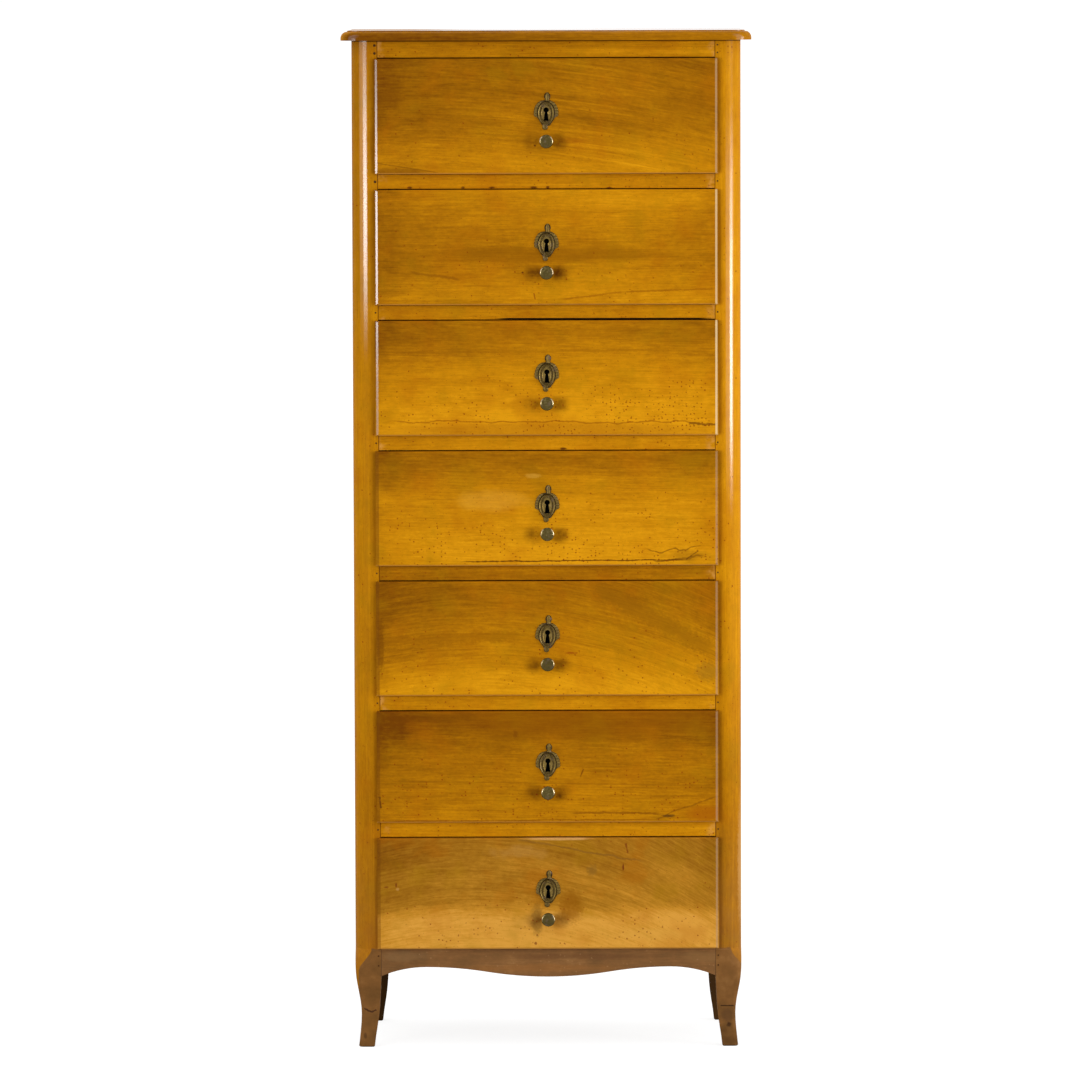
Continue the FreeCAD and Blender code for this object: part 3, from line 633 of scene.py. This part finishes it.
postLook = {  # painted shadow and dirt beside the lips, and shine, change with the height, in metres
    "left": {"level": 0.70, "fade": 0.02, "outer": 0.25, "lipShadowAndDirt": 0.36, "lipShadowAndDirtAbove": 0.25,
             "shine": (0.97, 1.18), "dullTop": 0},
    # the right post is painted lighter than the left: painted light, stronger from the right
    "right": {"level": 0.83, "fade": 0.25, "outer": 0, "lipShadowAndDirt": 0.60, "lipShadowAndDirtAbove": 0,
              "shine": (0.74, 0.92), "dullTop": 0.9},
}


def postWood(side, seed):
    look = postLook[side]
    finish, x, y, z, figure, fibres = board(side + "PostWood", "z", seed, 0.7)
    light = figure + look["level"] - abs(z - 0.95) * 0.20 - z.below(0.1, 0.80) * look["fade"]
    colour = tinted(finish, finish.ramp(light, honeyTones))
    reach = abs(x)
    # painted shade on the outer part of the left post's round corner, towards the top
    outer = (reach - 0.262).smooth(0.0, 0.006) * z.smooth(0.88, 1.12)
    colour = finish.mix(outer * look["outer"], colour, tone(120, 70, 2))
    front = (-finish.facing()[1]).smooth(0.90, 0.985)
    # painted shadow of the drawers' lips on the posts beside them, with some dirt
    lipShadowAndDirt = (reach - lipEdge).below(-0.5 * mm, 9 * mm) * front * besideDrawers(z)
    lipShadowAndDirt = lipShadowAndDirt * (finish.streaks(finish.place(), 60, 7, 2.0) + 0.2)
    lipShadowAndDirt = lipShadowAndDirt * (z.smooth(0.62, 0.82) * look["lipShadowAndDirtAbove"] + look["lipShadowAndDirt"])
    colour = finish.mix(lipShadowAndDirt, colour, tone(90, 50, 4))
    joint = (reach - postInner).below(0.3 * mm, 0.9 * mm) * front
    colour = finish.mix(joint * 0.8, colour, wornTone)
    colour = shadeUnderTop(finish, colour, z)
    colour, holes = specked(finish, colour, 0.02)
    colour, brown = wornLeg(finish, colour, x, z, side)
    shine = z.smooth(*look["shine"]) * (1 - z.smooth(1.22, 1.36) * look["dullTop"])
    roughness = 0.42 + fibres * 0.14 + brown * 0.2
    return waxed(finish, colour, roughness, fibres * 0.5 - holes, wax(finish) * shine)


def besideDrawers(z):  # 1 at the heights of the drawer fronts
    total = 0.0
    for number in drawerNumbers:
        low, high = [corner.z for corner in frontBox(number)]
        total = z.smooth(low - 3 * mm, low + 4 * mm) * z.below(high - 4 * mm, high + 3 * mm) + total
    return total


def wornLeg(finish, colour, x, z, side):  # below the posts the wax is worn off, inside an arched edge
    look, own = legLook, legLook[side]
    patches = finish.mottle(46, 4.0, 0.6)
    fine = finish.mottle(260, 2.0)
    low = (z + (patches - 0.5) * (5 * mm)).below(look["brownTop"] - 2 * mm, look["brownTop"] + 1 * mm)
    arch = z.smooth(look["archFoot"], look["brownTop"]) * (look["edge"] - look["edgeTop"])
    bound = look["edge"] + own["wider"] * mm - arch
    inside = (abs(x) - bound + (fine - 0.5) * (2 * mm)).below(-0.8 * mm, 0.8 * mm)
    foot = z.below(0.070, 0.092)
    brown = inside.most(foot) * low
    light = patches * 0.9 - z.below(0.0, 0.035) * 0.12 + 0.10
    light = light - z.below(0.02, 0.07) * own["dark"] + own["pale"]
    worn = finish.ramp(light, brownTones)
    # with a painted highlight along the ledge
    worn = marked(finish, worn, x, z, [look["ledgeHighlight"]] + own["marks"])
    stain = z.below(apronTop, apronTop + 0.22) * (patches * 0.6 + 0.1) * own["stain"]
    colour = finish.mix(stain * 0.55, colour, tone(140, 96, 48))
    # the marks above the legs: on the right post a painted highlight
    colour = marked(finish, colour, x, z, own["above"])
    return finish.mix(brown, colour, worn), brown


def rearPostWood(side, seed):
    finish, x, y, z, figure, fibres = board(side + "RearWood", "z", seed)
    colour = finish.ramp(figure + 0.5, honeyTones)
    patches = finish.mottle(40)
    # below the apron: worn brown, and painted shade, near black, on the faces towards the front, darker on
    # the left leg
    shaded = (-finish.facing()[1]).smooth(0.2, 0.7)
    dark = finish.mix(patches, tone(74, 50, 28), tone(112, 78, 44))
    dark = finish.mix(shaded, dark, tone(44, 28, 15) if side == "left" else tone(70, 48, 27))
    below = (z + patches * (50 * mm)).below(apronTop - 30 * mm, apronTop + 60 * mm)
    colour = finish.mix(below * 0.96, colour, dark)
    roughness = 0.46 + fibres * 0.16 + below * 0.15
    return waxed(finish, colour, roughness, fibres * 0.6, wax(finish) * (1 - below))


def topWood():
    finish, x, y, z, figure, fibres = board("topWood", "x", 5)
    edge = (-finish.facing()[1]).smooth(0.15, 0.9)
    light = figure + 0.54 - edge * 0.27 + x * edge * 0.8
    colour = finish.ramp(light, honeyTones)
    worn = finish.mottle(16).smooth(0.52, 0.72) * (1 - edge) * 0.35
    colour = finish.mix(worn, colour, tone(150, 108, 66))
    flat = finish.facing()[2].smooth(0.90, 0.99) * (x.smooth(-0.20, -0.08) * 0.7 + 0.3)
    # painted reflection of the white surroundings on the top face, where it is seen at a grazing angle
    grazingReflection = finish.add("ShaderNodeLayerWeight", {}, {}, "Facing").smooth(0.94, 0.98)
    colour = finish.mix(flat * grazingReflection * y.below(0.06, 0.10), colour, tone(255, 244, 238))
    nose = (abs(x) - 262 * mm).smooth(0, 10 * mm) * wax(finish)
    return waxed(finish, colour, 0.40 + fibres * 0.14 + worn * 0.4, fibres * 0.5, nose.most(flat))


def sideWood(name, grain, seed, level):  # side panels and side aprons
    finish, x, y, z, figure, fibres = board(name, grain, seed, 1.3)
    rays = finish.streaks(grainPlace(finish, grain, seed + 2), 1.6, 34, 2.0).smooth(0.35, 0.7)
    low = z.below(0.10, 0.30)
    light = figure + level + (rays - 0.5) * 0.25 - low * 0.22
    colour = finish.ramp(light, honeyTones)
    colour = finish.mix(low * 0.35, colour, tone(124, 84, 44))
    holes = wormHoles(finish, 0.05, low, "YZ")
    colour = finish.mix(holes * 0.9, colour, wornTone)
    normal = finish.bump(fibres * 0.6 - holes, 0.2 * mm, 0.35)
    return dull(finish, colour, 0.40 + fibres * 0.18, 0.12, normal)


apronMarks = [
    blot((-206, 132), (46, 9), (140, 106, 66), 0.35, 2.0),
    blot((222, 130), (28, 8), (138, 100, 56), 0.4, 1.6),
    blot((50, 130), (120, 5), (102, 64, 32), 0.5, 1.2),
    blot((-10, 114), (130, 7), (150, 96, 42), 0.4, 1.2)]


def apronWood():
    finish, x, y, z, figure, fibres = board("apronWood", "x", 77, 1.2)
    patches = finish.mottle(26, 4.0, 0.6)
    # a thin band along the top edge, lighter
    paler = z.smooth(apronTop - 2.2 * mm, apronTop - 0.6 * mm) * 0.25
    colour = finish.ramp(figure * 0.8 + patches * 0.7 + 0.22 + paler, brownTones)
    colour = marked(finish, colour, x, z, apronMarks)
    specks = wormHoles(finish, 0.06, 1.0)
    colour = finish.mix(specks * 0.5, colour, tone(170, 128, 82))
    colour = finish.mix(jointLine(x), colour, tone(44, 28, 16))
    normal = finish.bump(fibres * 0.4 + patches * 0.4, 0.3 * mm, 0.35)
    return dull(finish, colour, 0.52 + patches * 0.14, 0.15, normal)


def plainWood(name, grain, seed, level, seams=()):  # unpolished wood inside and behind, seams between boards
    finish, x, y, z, figure, fibres = board(name, grain, seed, 1.1)
    light = figure + level
    for place, step in seams:
        light = light + x.smooth(place - 0.1 * mm, place + 0.1 * mm) * step
    colour = finish.ramp(light, plainTones)
    dust = finish.mottle(12, 4.0, 0.6).smooth(0.45, 0.8)
    colour = finish.mix(dust * 0.3, colour, tone(110, 84, 58))
    for place, step in seams:
        colour = finish.mix(abs(x - place).below(0.4 * mm, 1.1 * mm), colour, tone(38, 26, 16))
    return dull(finish, colour, 0.66 + fibres * 0.16, 0.2, finish.bump(fibres, 0.3 * mm, 0.45))


# metal

def brass(finish, x, y, z, light, look):  # old brass, a tone for each lightness, with stains and spots
    moved = finish.whole(x + look["seed"], y, z + look["seed"] * 0.4)
    patina = finish.noise(moved, 420, 3.0, 0.6)
    colour = finish.ramp(light + (patina - 0.5) * 0.7, look["tones"])
    stain = finish.noise(moved, 170, 2.0).smooth(0.54, 0.72)
    colour = finish.mix(stain * 0.3, colour, tone(104, 78, 66))
    spots = finish.noise(moved, 900, 2.0).smooth(0.62, 0.76)
    colour = finish.mix(spots * 0.4, colour, tone(44, 36, 20))
    return finish.surface(Base_Color=colour, Metallic=0.9 - stain * 0.3,
                          Roughness=patina * 0.16 + look["roughness"],
                          Normal=finish.bump(patina + spots * 0.5, 0.08 * mm, 0.35))


def iron(name, slotShadeBefore=None):  # painted shade, black, in the key's slot, in front of a depth
    finish = newFinish(name)
    rust = finish.mottle(180, 5.0, 0.65).smooth(0.42, 0.66)
    colour = finish.mix(rust, tone(98, 94, 90), tone(104, 62, 36))
    metal = 0.85 - rust * 0.7
    if slotShadeBefore is not None:
        x, y, z = finish.point()
        # painted shade in the key's slot
        slot = abs(x).below(3.3 * mm, 3.5 * mm) * y.below(slotShadeBefore - 0.4 * mm, slotShadeBefore)
        colour = finish.mix(slot, colour, tone(8, 5, 3))
        metal = metal * (1 - slot)
    return finish.surface(Base_Color=colour, Metallic=metal, Roughness=0.42 + rust * 0.3,
                          Specular_IOR_Level=0.05, Normal=finish.bump(rust, 0.15 * mm, 0.4))


def dress(node, material):
    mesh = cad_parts[node].data
    mesh.materials.clear()
    mesh.materials.append(material)
    for polygon in mesh.polygons:
        polygon.material_index = 0


def dressCase():
    dress("top_board", topWood())
    dress("top_rail", railWood("topRailWood", 0.66, 8))
    dress("drawer_rails", railWood("railWood", railLook["levels"][0], railLook["seed"]))
    for side, seed in (("left", 21), ("right", 23)):
        dress("front_post_" + side, postWood(side, seed))
        dress("rear_post_" + side, rearPostWood(side, seed + 4))
        dress("side_panel_" + side, sideWood(side + "PanelWood", "z", seed + 8, 0.52))
        dress("side_apron_" + side, sideWood(side + "ApronWood", "y", seed + 12, 0.50))
    dress("front_apron", apronWood())
    low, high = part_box("back_boards")
    seams = [(low.x + (high.x - low.x) * share, step) for share, step in ((1 / 3, 0.14), (2 / 3, -0.20))]
    dress("back_boards", plainWood("backWood", "z", 61, 0.36, seams))
    dress("back_rails", plainWood("backRailWood", "x", 63, 0.44))
    for node, seed in (("drawer_runners", 67), ("kickers", 68), ("drawer_guides", 69)):
        dress(node, plainWood(node + "Wood", "y", seed, 0.58))


def dressDrawers():
    sides = plainWood("drawerSideWood", "y", 71, 0.62)
    bottoms = plainWood("drawerBottomWood", "x", 73, 0.70)
    lockIron = iron("lockIron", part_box("drawer_1_lock")[0].y + 5 * mm)
    for number in drawerNumbers:
        dress("drawer_%d_front" % number, frontWood(number))
        dress("drawer_%d_box" % number, sides)
        dress("drawer_%d_bottom" % number, bottoms)
        dress("drawer_%d_lock" % number, lockIron)


dressCase()
dressDrawers()
print("wood and iron finished")


# meshes

def meshPiece(name, vertices, faces, material, body, slot, sharp=40):
    mesh = bpy.data.meshes.new(name)
    mesh.from_pydata(vertices, [], faces)
    work = bmesh.new()
    work.from_mesh(mesh)
    bmesh.ops.remove_doubles(work, verts=work.verts, dist=0.002 * mm)
    bmesh.ops.recalc_face_normals(work, faces=work.faces)
    work.to_mesh(mesh)
    work.free()
    for polygon in mesh.polygons:
        polygon.use_smooth = True
    mesh.set_sharp_from_angle(angle=math.radians(sharp))
    mesh.materials.append(material)
    piece = newObject(name, mesh)
    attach(piece, body)
    return piece


def gridFaces(rows, columns):  # faces between rows of points, each row a ring
    faces = []
    for start in range(0, (rows - 1) * columns, columns):
        for column in range(columns):
            following = (column + 1) % columns
            faces.append((start + column, start + following, start + columns + following,
                          start + columns + column))
    return faces


def endFaces(rows, columns):  # one face over the first row and one over the last
    return [tuple(range(columns)), tuple((rows - 1) * columns + step for step in range(columns))]


def lathe(profile, centreX, centreZ, turns):  # rings round an axis along Y, from (radius, y) points
    vertices = []
    for radius, y in profile:
        for step in range(turns):
            angle = 2 * math.pi * step / turns
            vertices.append((centreX + radius * math.cos(angle), y, centreZ + radius * math.sin(angle)))
    return vertices, gridFaces(len(profile), turns) + endFaces(len(profile), turns)


def joined(*parts):
    vertices, faces = [], []
    for someVertices, someFaces in parts:
        start = len(vertices)
        vertices += someVertices
        faces += [tuple(index + start for index in face) for face in someFaces]
    return vertices, faces


# knobs

knobLook = {"turns": 64, "rimRadius": 2.1, "dome": 0.7, "neckRadius": 3.8, "collarRadius": 5.4,
            "collar": 1.6, "discThickness": 4.4, "washer": 10, "rivetRadius": 2.6,
            "dull": (5, 7),  # numbers of the darker knobs
            "roughness": 0.14, "tones": [(0.0, (52, 42, 18)), (0.5, (84, 72, 34)), (0.8, (140, 124, 84)),
                                         (1.0, (214, 196, 158))]}


def arcPoints(centreR, centreY, radius, start, end, steps):  # (radius, y) points on an arc, angles in degrees
    points = []
    for step in range(steps + 1):
        angle = math.radians(start + (end - start) * step / steps)
        points.append((centreR + radius * math.cos(angle), centreY + radius * math.sin(angle)))
    return points


def knobProfile(tip, face):  # (radius, y) points from the middle of the disc to the wood
    look = knobLook
    rim = look["rimRadius"] * mm
    back = tip + look["discThickness"] * mm
    inner = knobRadius - rim
    profile = [(inner * share, tip + look["dome"] * mm * share * share) for share in (0.08, 0.3, 0.55, 0.8)]
    middle = tip + look["dome"] * mm + rim
    profile += arcPoints(inner, middle, rim, -90, 62, 9)
    neck = look["neckRadius"] * mm
    profile += [(neck + 1.6 * mm, back - 0.2 * mm), (neck + 0.5 * mm, back + 0.9 * mm),
                (neck, back + 2.6 * mm)]
    collar = look["collarRadius"] * mm
    profile += [(neck, face - 3.4 * mm), (neck + 0.5 * mm, face - 2.2 * mm),
                (collar - 0.5 * mm, face - look["collar"] * mm), (collar, face - 0.9 * mm), (collar, face)]
    return profile


def rivetedPlate(centreZ, back, plate):  # square plate with the hammered end of the tang on it
    half = knobLook["washer"] / 2 * mm
    bevel = 0.5 * mm
    rings = [(half, back), (half, back + plate - bevel), (half - bevel, back + plate)]
    vertices = []
    for reach, y in rings:
        vertices += [(sx * reach, y, centreZ + sz * reach) for sx, sz in ((-1, -1), (1, -1), (1, 1), (-1, 1))]
    return vertices, gridFaces(3, 4) + endFaces(3, 4)


def knobBrass(number, centreZ):  # painted highlights at the sides of its rim, and painted light brighter towards its top
    finish = newFinish("knobBrass%d" % number)
    x, y, z = finish.point()
    z = z - centreZ
    reach = (x * x + z * z) ** 0.5
    side = (abs(x) + z * 0.35) / reach.most(1 * mm)
    # painted highlights at the sides of the rim; the z term paints light brighter towards the top
    rim = reach.smooth(7.7 * mm, 8.8 * mm) * side.smooth(0.80, 1.0)
    light = rim * 0.5 + 0.47 + z * 8 - (0.10 if number in knobLook["dull"] else 0)
    return brass(finish, x, y, z, light, dict(knobLook, seed=number * 0.31))


def makeKnob(number):
    node = "drawer_%d_knob" % number
    low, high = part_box(node)
    face, inside = [corner.y for corner in frontBox(number)]
    centreZ = low.z + knobRadius  # the knob hangs lower than its plate
    material = knobBrass(number, centreZ)
    knob = lathe(knobProfile(low.y, face), 0, centreZ, knobLook["turns"])
    plate = rivetedPlate(centreZ, inside, high.y - inside)
    rivet = knobLook["rivetRadius"] * mm
    domeProfile = [(rivet, high.y - 0.6 * mm), (rivet * 0.9, high.y - 0.2 * mm),
                   (rivet * 0.5, high.y - 0.02 * mm)]
    dome = lathe(domeProfile, 0, centreZ, 16)
    piece = meshPiece("knob_%d" % number, *joined(knob, plate, dome), material, "drawer_%d" % number, "brass")
    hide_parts(node)


# keyhole plates: a scalloped rim around two raised ovals, with a leaf above and a drop below

plateOutline = [  # degrees above level, mm from the middle of the ovals
    (-90, 18.4), (-73, 17.8), (-62, 15.7), (-46, 14.0), (-30, 13.6), (-21, 14.6), (-15, 16.6), (-10, 17.5),
    (0, 17.6), (12, 17.7), (24, 18.0), (38, 18.6), (52, 19.2), (62, 19.5), (74, 18.9), (90, 18.4)]
leafOutline = [(17.4, 4.2), (19.2, 3.1), (20.8, 3.4), (22.6, 4.3), (24.6, 4.4), (26.6, 3.8), (28.4, 2.6),
               (29.5, 0.9)]  # mm above the middle of the ovals, half width
dropOutline = [(-15.4, 4.4), (-17.4, 3.4), (-19.0, 3.6), (-20.6, 3.7), (-22.2, 2.9), (-23.2, 1.4),
               (-23.4, 0.5)]
plateLook = {"spokes": 192, "outerOval": (11.3, 15.8), "innerOval": (6.9, 12.4), "ribs": 24,
             "ribHeight": 1.0, "keyRadius": 3.6, "keyRise": 4.6, "keyFoot": -10.6, "keyTop": 2.0,
             "keyWide": 3.5, "leafLean": 1.6, "dropLean": -1.6, "thickness": 1.3, "field": 1.5,
             "relief": 2.8, "roughness": 0.3,
             "pins": ((24.8, 2.9), (-20.2, 2.3)),  # above the middle, and proud of the wood
             "bands": [("innerOval", 1.0, 0.04, 0.10, 0.28), ("innerOval", 1.2, 0.05, 0.14, -0.22),
                       ("outerOval", 0.97, 0.03, 0.07, 0.22), ("outerOval", 1.09, 0.03, 0.07, -0.25)],
             "tones": [(0.0, (44, 30, 8)), (0.25, (76, 60, 26)), (0.5, (106, 86, 40)), (0.75, (128, 108, 58)),
                       (1.0, (158, 138, 88))]}


def between(table, place):  # straight between the points of a table
    for (a, x), (b, y) in zip(table, table[1:]):
        if place <= b:
            return x + (y - x) * (place - a) / (b - a)
    return table[-1][1]


def ovalReach(angle, halves):  # middle of an oval to its edge
    return 1 / math.hypot(math.cos(angle) / halves[0], math.sin(angle) / halves[1])


def keyReach(angle):  # middle of the ovals to the edge of the keyhole
    look = plateLook
    across, up = math.cos(angle), math.sin(angle)
    half = up * look["keyRise"]
    inside = half * half - look["keyRise"] ** 2 + look["keyRadius"] ** 2
    if inside > 0 and up > 0:
        return half + math.sqrt(inside)
    slant = (look["keyWide"] - look["keyTop"]) / -look["keyFoot"]
    side = look["keyTop"] / max(abs(across) + slant * up, 0.01)
    foot = look["keyFoot"] / up if up < -0.01 else 100
    return min(side, foot)


def plateRings(angle):  # (mm from the middle, mm proud of the wood) from hole to rim
    look = plateLook
    degrees = math.degrees(math.asin(max(-1, min(1, math.sin(angle)))))
    ribbed = max(0, min(1, (degrees + 14) / 8)) * max(0, min(1, (72 - degrees) / 8))
    wave = 0.5 - 0.5 * math.cos(angle * look["ribs"])
    key, inner = keyReach(angle), ovalReach(angle, look["innerOval"])
    outer = between(plateOutline, degrees) - 0.45 * (1 - wave) * ribbed
    oval = min(ovalReach(angle, look["outerOval"]), outer - 0.9)
    field, relief, low = look["field"], look["relief"], look["thickness"]
    rows = [(key, 0.0), (key, field - 0.4), (key + 0.3, field - 0.1)]
    rows += [(key + (inner - key) * 0.6, field - 0.2), (inner - 0.8, field), (inner, field + 1.2)]
    rows += [(inner + 0.8, field), (inner + (oval - inner) * 0.5, field - 0.15)]
    rows += [(oval - 0.9, field + 0.2), (oval, relief)]
    rows += [(oval + (outer - oval) * share, low - 0.5 + (look["ribHeight"] * wave * ribbed + 0.5) * swell)
             for share, swell in ((0.14, 0.4), (0.36, 0.9), (0.6, 1.0), (0.82, 0.8))]
    rows += [(outer, low - 0.4), (outer, 0.0)]
    return rows


def plateBody(face, middle):
    spokes = plateLook["spokes"]
    angles = [2 * math.pi * step / spokes for step in range(spokes)]
    columns = [plateRings(angle) for angle in angles]
    vertices = []
    for row in range(len(columns[0])):
        for angle, column in zip(angles, columns):
            reach, proud = column[row]
            side, up = reach * math.cos(angle), reach * math.sin(angle)
            vertices.append((side * mm, face - proud * mm, middle + up * mm))
    faces = gridFaces(len(columns[0]), spokes)
    last = (len(columns[0]) - 1) * spokes
    faces += [(last + step, last + (step + 1) % spokes, (step + 1) % spokes, step) for step in range(spokes)]
    return vertices, faces


def domedBody(outline, face, middle, ridge, lean):  # domed leaf or drop over the plate
    across = 9
    vertices = []
    for up, half in outline:
        for step in range(across):
            share = -1 + 2 * step / (across - 1)
            proud = 0.8 + 1.0 * math.sqrt(max(0, 1 - share * share)) + ridge * math.exp(-(share * 2.4) ** 2)
            vertices.append(((lean + half * share) * mm, face - proud * mm, middle + up * mm))
        vertices += [((lean + side * half) * mm, face, middle + up * mm) for side in (1, -1)]
    columns = across + 2
    return vertices, gridFaces(len(outline), columns) + endFaces(len(outline), columns)


def plateBrass(number, middle, face):
    look = plateLook
    finish = newFinish("plateBrass%d" % number)
    x, y, z = finish.point()
    z = z - middle
    reaches = {name: ovalPlace(x, z, look[name]) for name in ("innerOval", "outerOval")}
    light = 0.40 + reaches["innerOval"].below(0.80, 0.90) * 0.14
    for name, place, near, far, change in look["bands"]:  # rubbed edges lighter, grooves darker
        light = light + abs(reaches[name] - place).below(near, far) * change
    ends = abs(z + 1 * mm).smooth(16.5 * mm, 18.5 * mm)
    # painted shadow along the sides of the leaf
    sides = abs(x - 1.6 * mm).smooth(1.6 * mm, 3.2 * mm) * z.smooth(18 * mm, 19 * mm)
    light = light - ends * 0.14 - sides * 0.35 + (face - y).smooth(1.0 * mm, 2.6 * mm) * 0.16
    return brass(finish, x, y, z, light, dict(look, seed=number * 0.47 + 5))


def makePlate(number):
    node = "drawer_%d_escutcheon" % number
    face = frontBox(number)[0].y
    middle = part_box(node)[0].z + plateFoot
    material = plateBrass(number, middle, face)
    lean = (plateLook["leafLean"], plateLook["dropLean"])
    pins = []
    for side, (up, top) in zip(lean, plateLook["pins"]):
        profile = [(0.9 * mm, face - 1.2 * mm), (0.8 * mm, face - (top - 0.2) * mm),
                   (0.4 * mm, face - top * mm)]
        pins.append(lathe(profile, side * mm, middle + up * mm, 12))
    shapes = joined(plateBody(face, middle), domedBody(leafOutline, face, middle, 0.9, lean[0]),
                    domedBody(dropOutline, face, middle, 0.1, lean[1]), *pins)
    piece = meshPiece("keyPlate_%d" % number, *shapes, material, "drawer_%d" % number, "brass", 50)
    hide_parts(node)


for number in drawerNumbers:
    makeKnob(number)
    makePlate(number)
print("knobs and keyhole plates made")


# small fasteners of the case

pegLook = {"radius": 1.9, "smallRadius": 1.2, "proud": 0.3, "reach": 242.6, "turns": 18,
           "largeAbove": 1.2}  # in metres, on the left
nailLook = {"radius": 2.6, "proud": 0.6, "turns": 16, "share": (0.12, 0.88), "heights": (0.142, 1.416)}


def pegWood():
    finish = newFinish("pegWood")
    rings = finish.mottle(900, 2.0)
    colour = finish.mix(rings, tone(40, 24, 8), tone(92, 56, 18))
    return dull(finish, colour, 0.6 + rings * 0.1, 0.1, finish.bump(rings, 0.2 * mm, 0.5))


def makePegs():  # through the tenons of the rails and the apron
    look = pegLook
    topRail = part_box("top_rail")
    heights = [topRail[1].z - 7 * mm, topRail[0].z + 6 * mm, apronTop - 10 * mm, apronTop - 24 * mm]
    heights += railMiddles
    tip = postFront - look["proud"] * mm
    pegs = []
    for side in (-1, 1):
        for height in heights:
            large = side < 0 and height > look["largeAbove"]
            radius = look["radius" if large else "smallRadius"] * mm
            profile = [(radius * 0.6, tip), (radius * 0.92, tip + 0.1 * mm), (radius, postFront),
                       (radius, postFront + 0.4 * mm)]
            pegs.append(lathe(profile, side * look["reach"] * mm, height, look["turns"]))
    meshPiece("railPegs", *joined(*pegs), pegWood(), "case", "worn_wood")


def makeNails():  # through the back boards into the back rails
    look = nailLook
    low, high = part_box("back_boards")
    width = (high.x - low.x) / 3
    radius = look["radius"] * mm
    tip = high.y + look["proud"] * mm
    profile = [(radius, high.y - 0.3 * mm), (radius, high.y + 0.2 * mm), (radius * 0.7, tip),
               (radius * 0.2, tip)]
    nails = [lathe(profile, low.x + width * (index + share), height, look["turns"])
             for index in range(3) for share in look["share"] for height in look["heights"]]
    meshPiece("backNails", *joined(*nails), iron("nailIron"), "case", "lock_iron")


makePegs()
makeNails()
print("pegs and nails made")
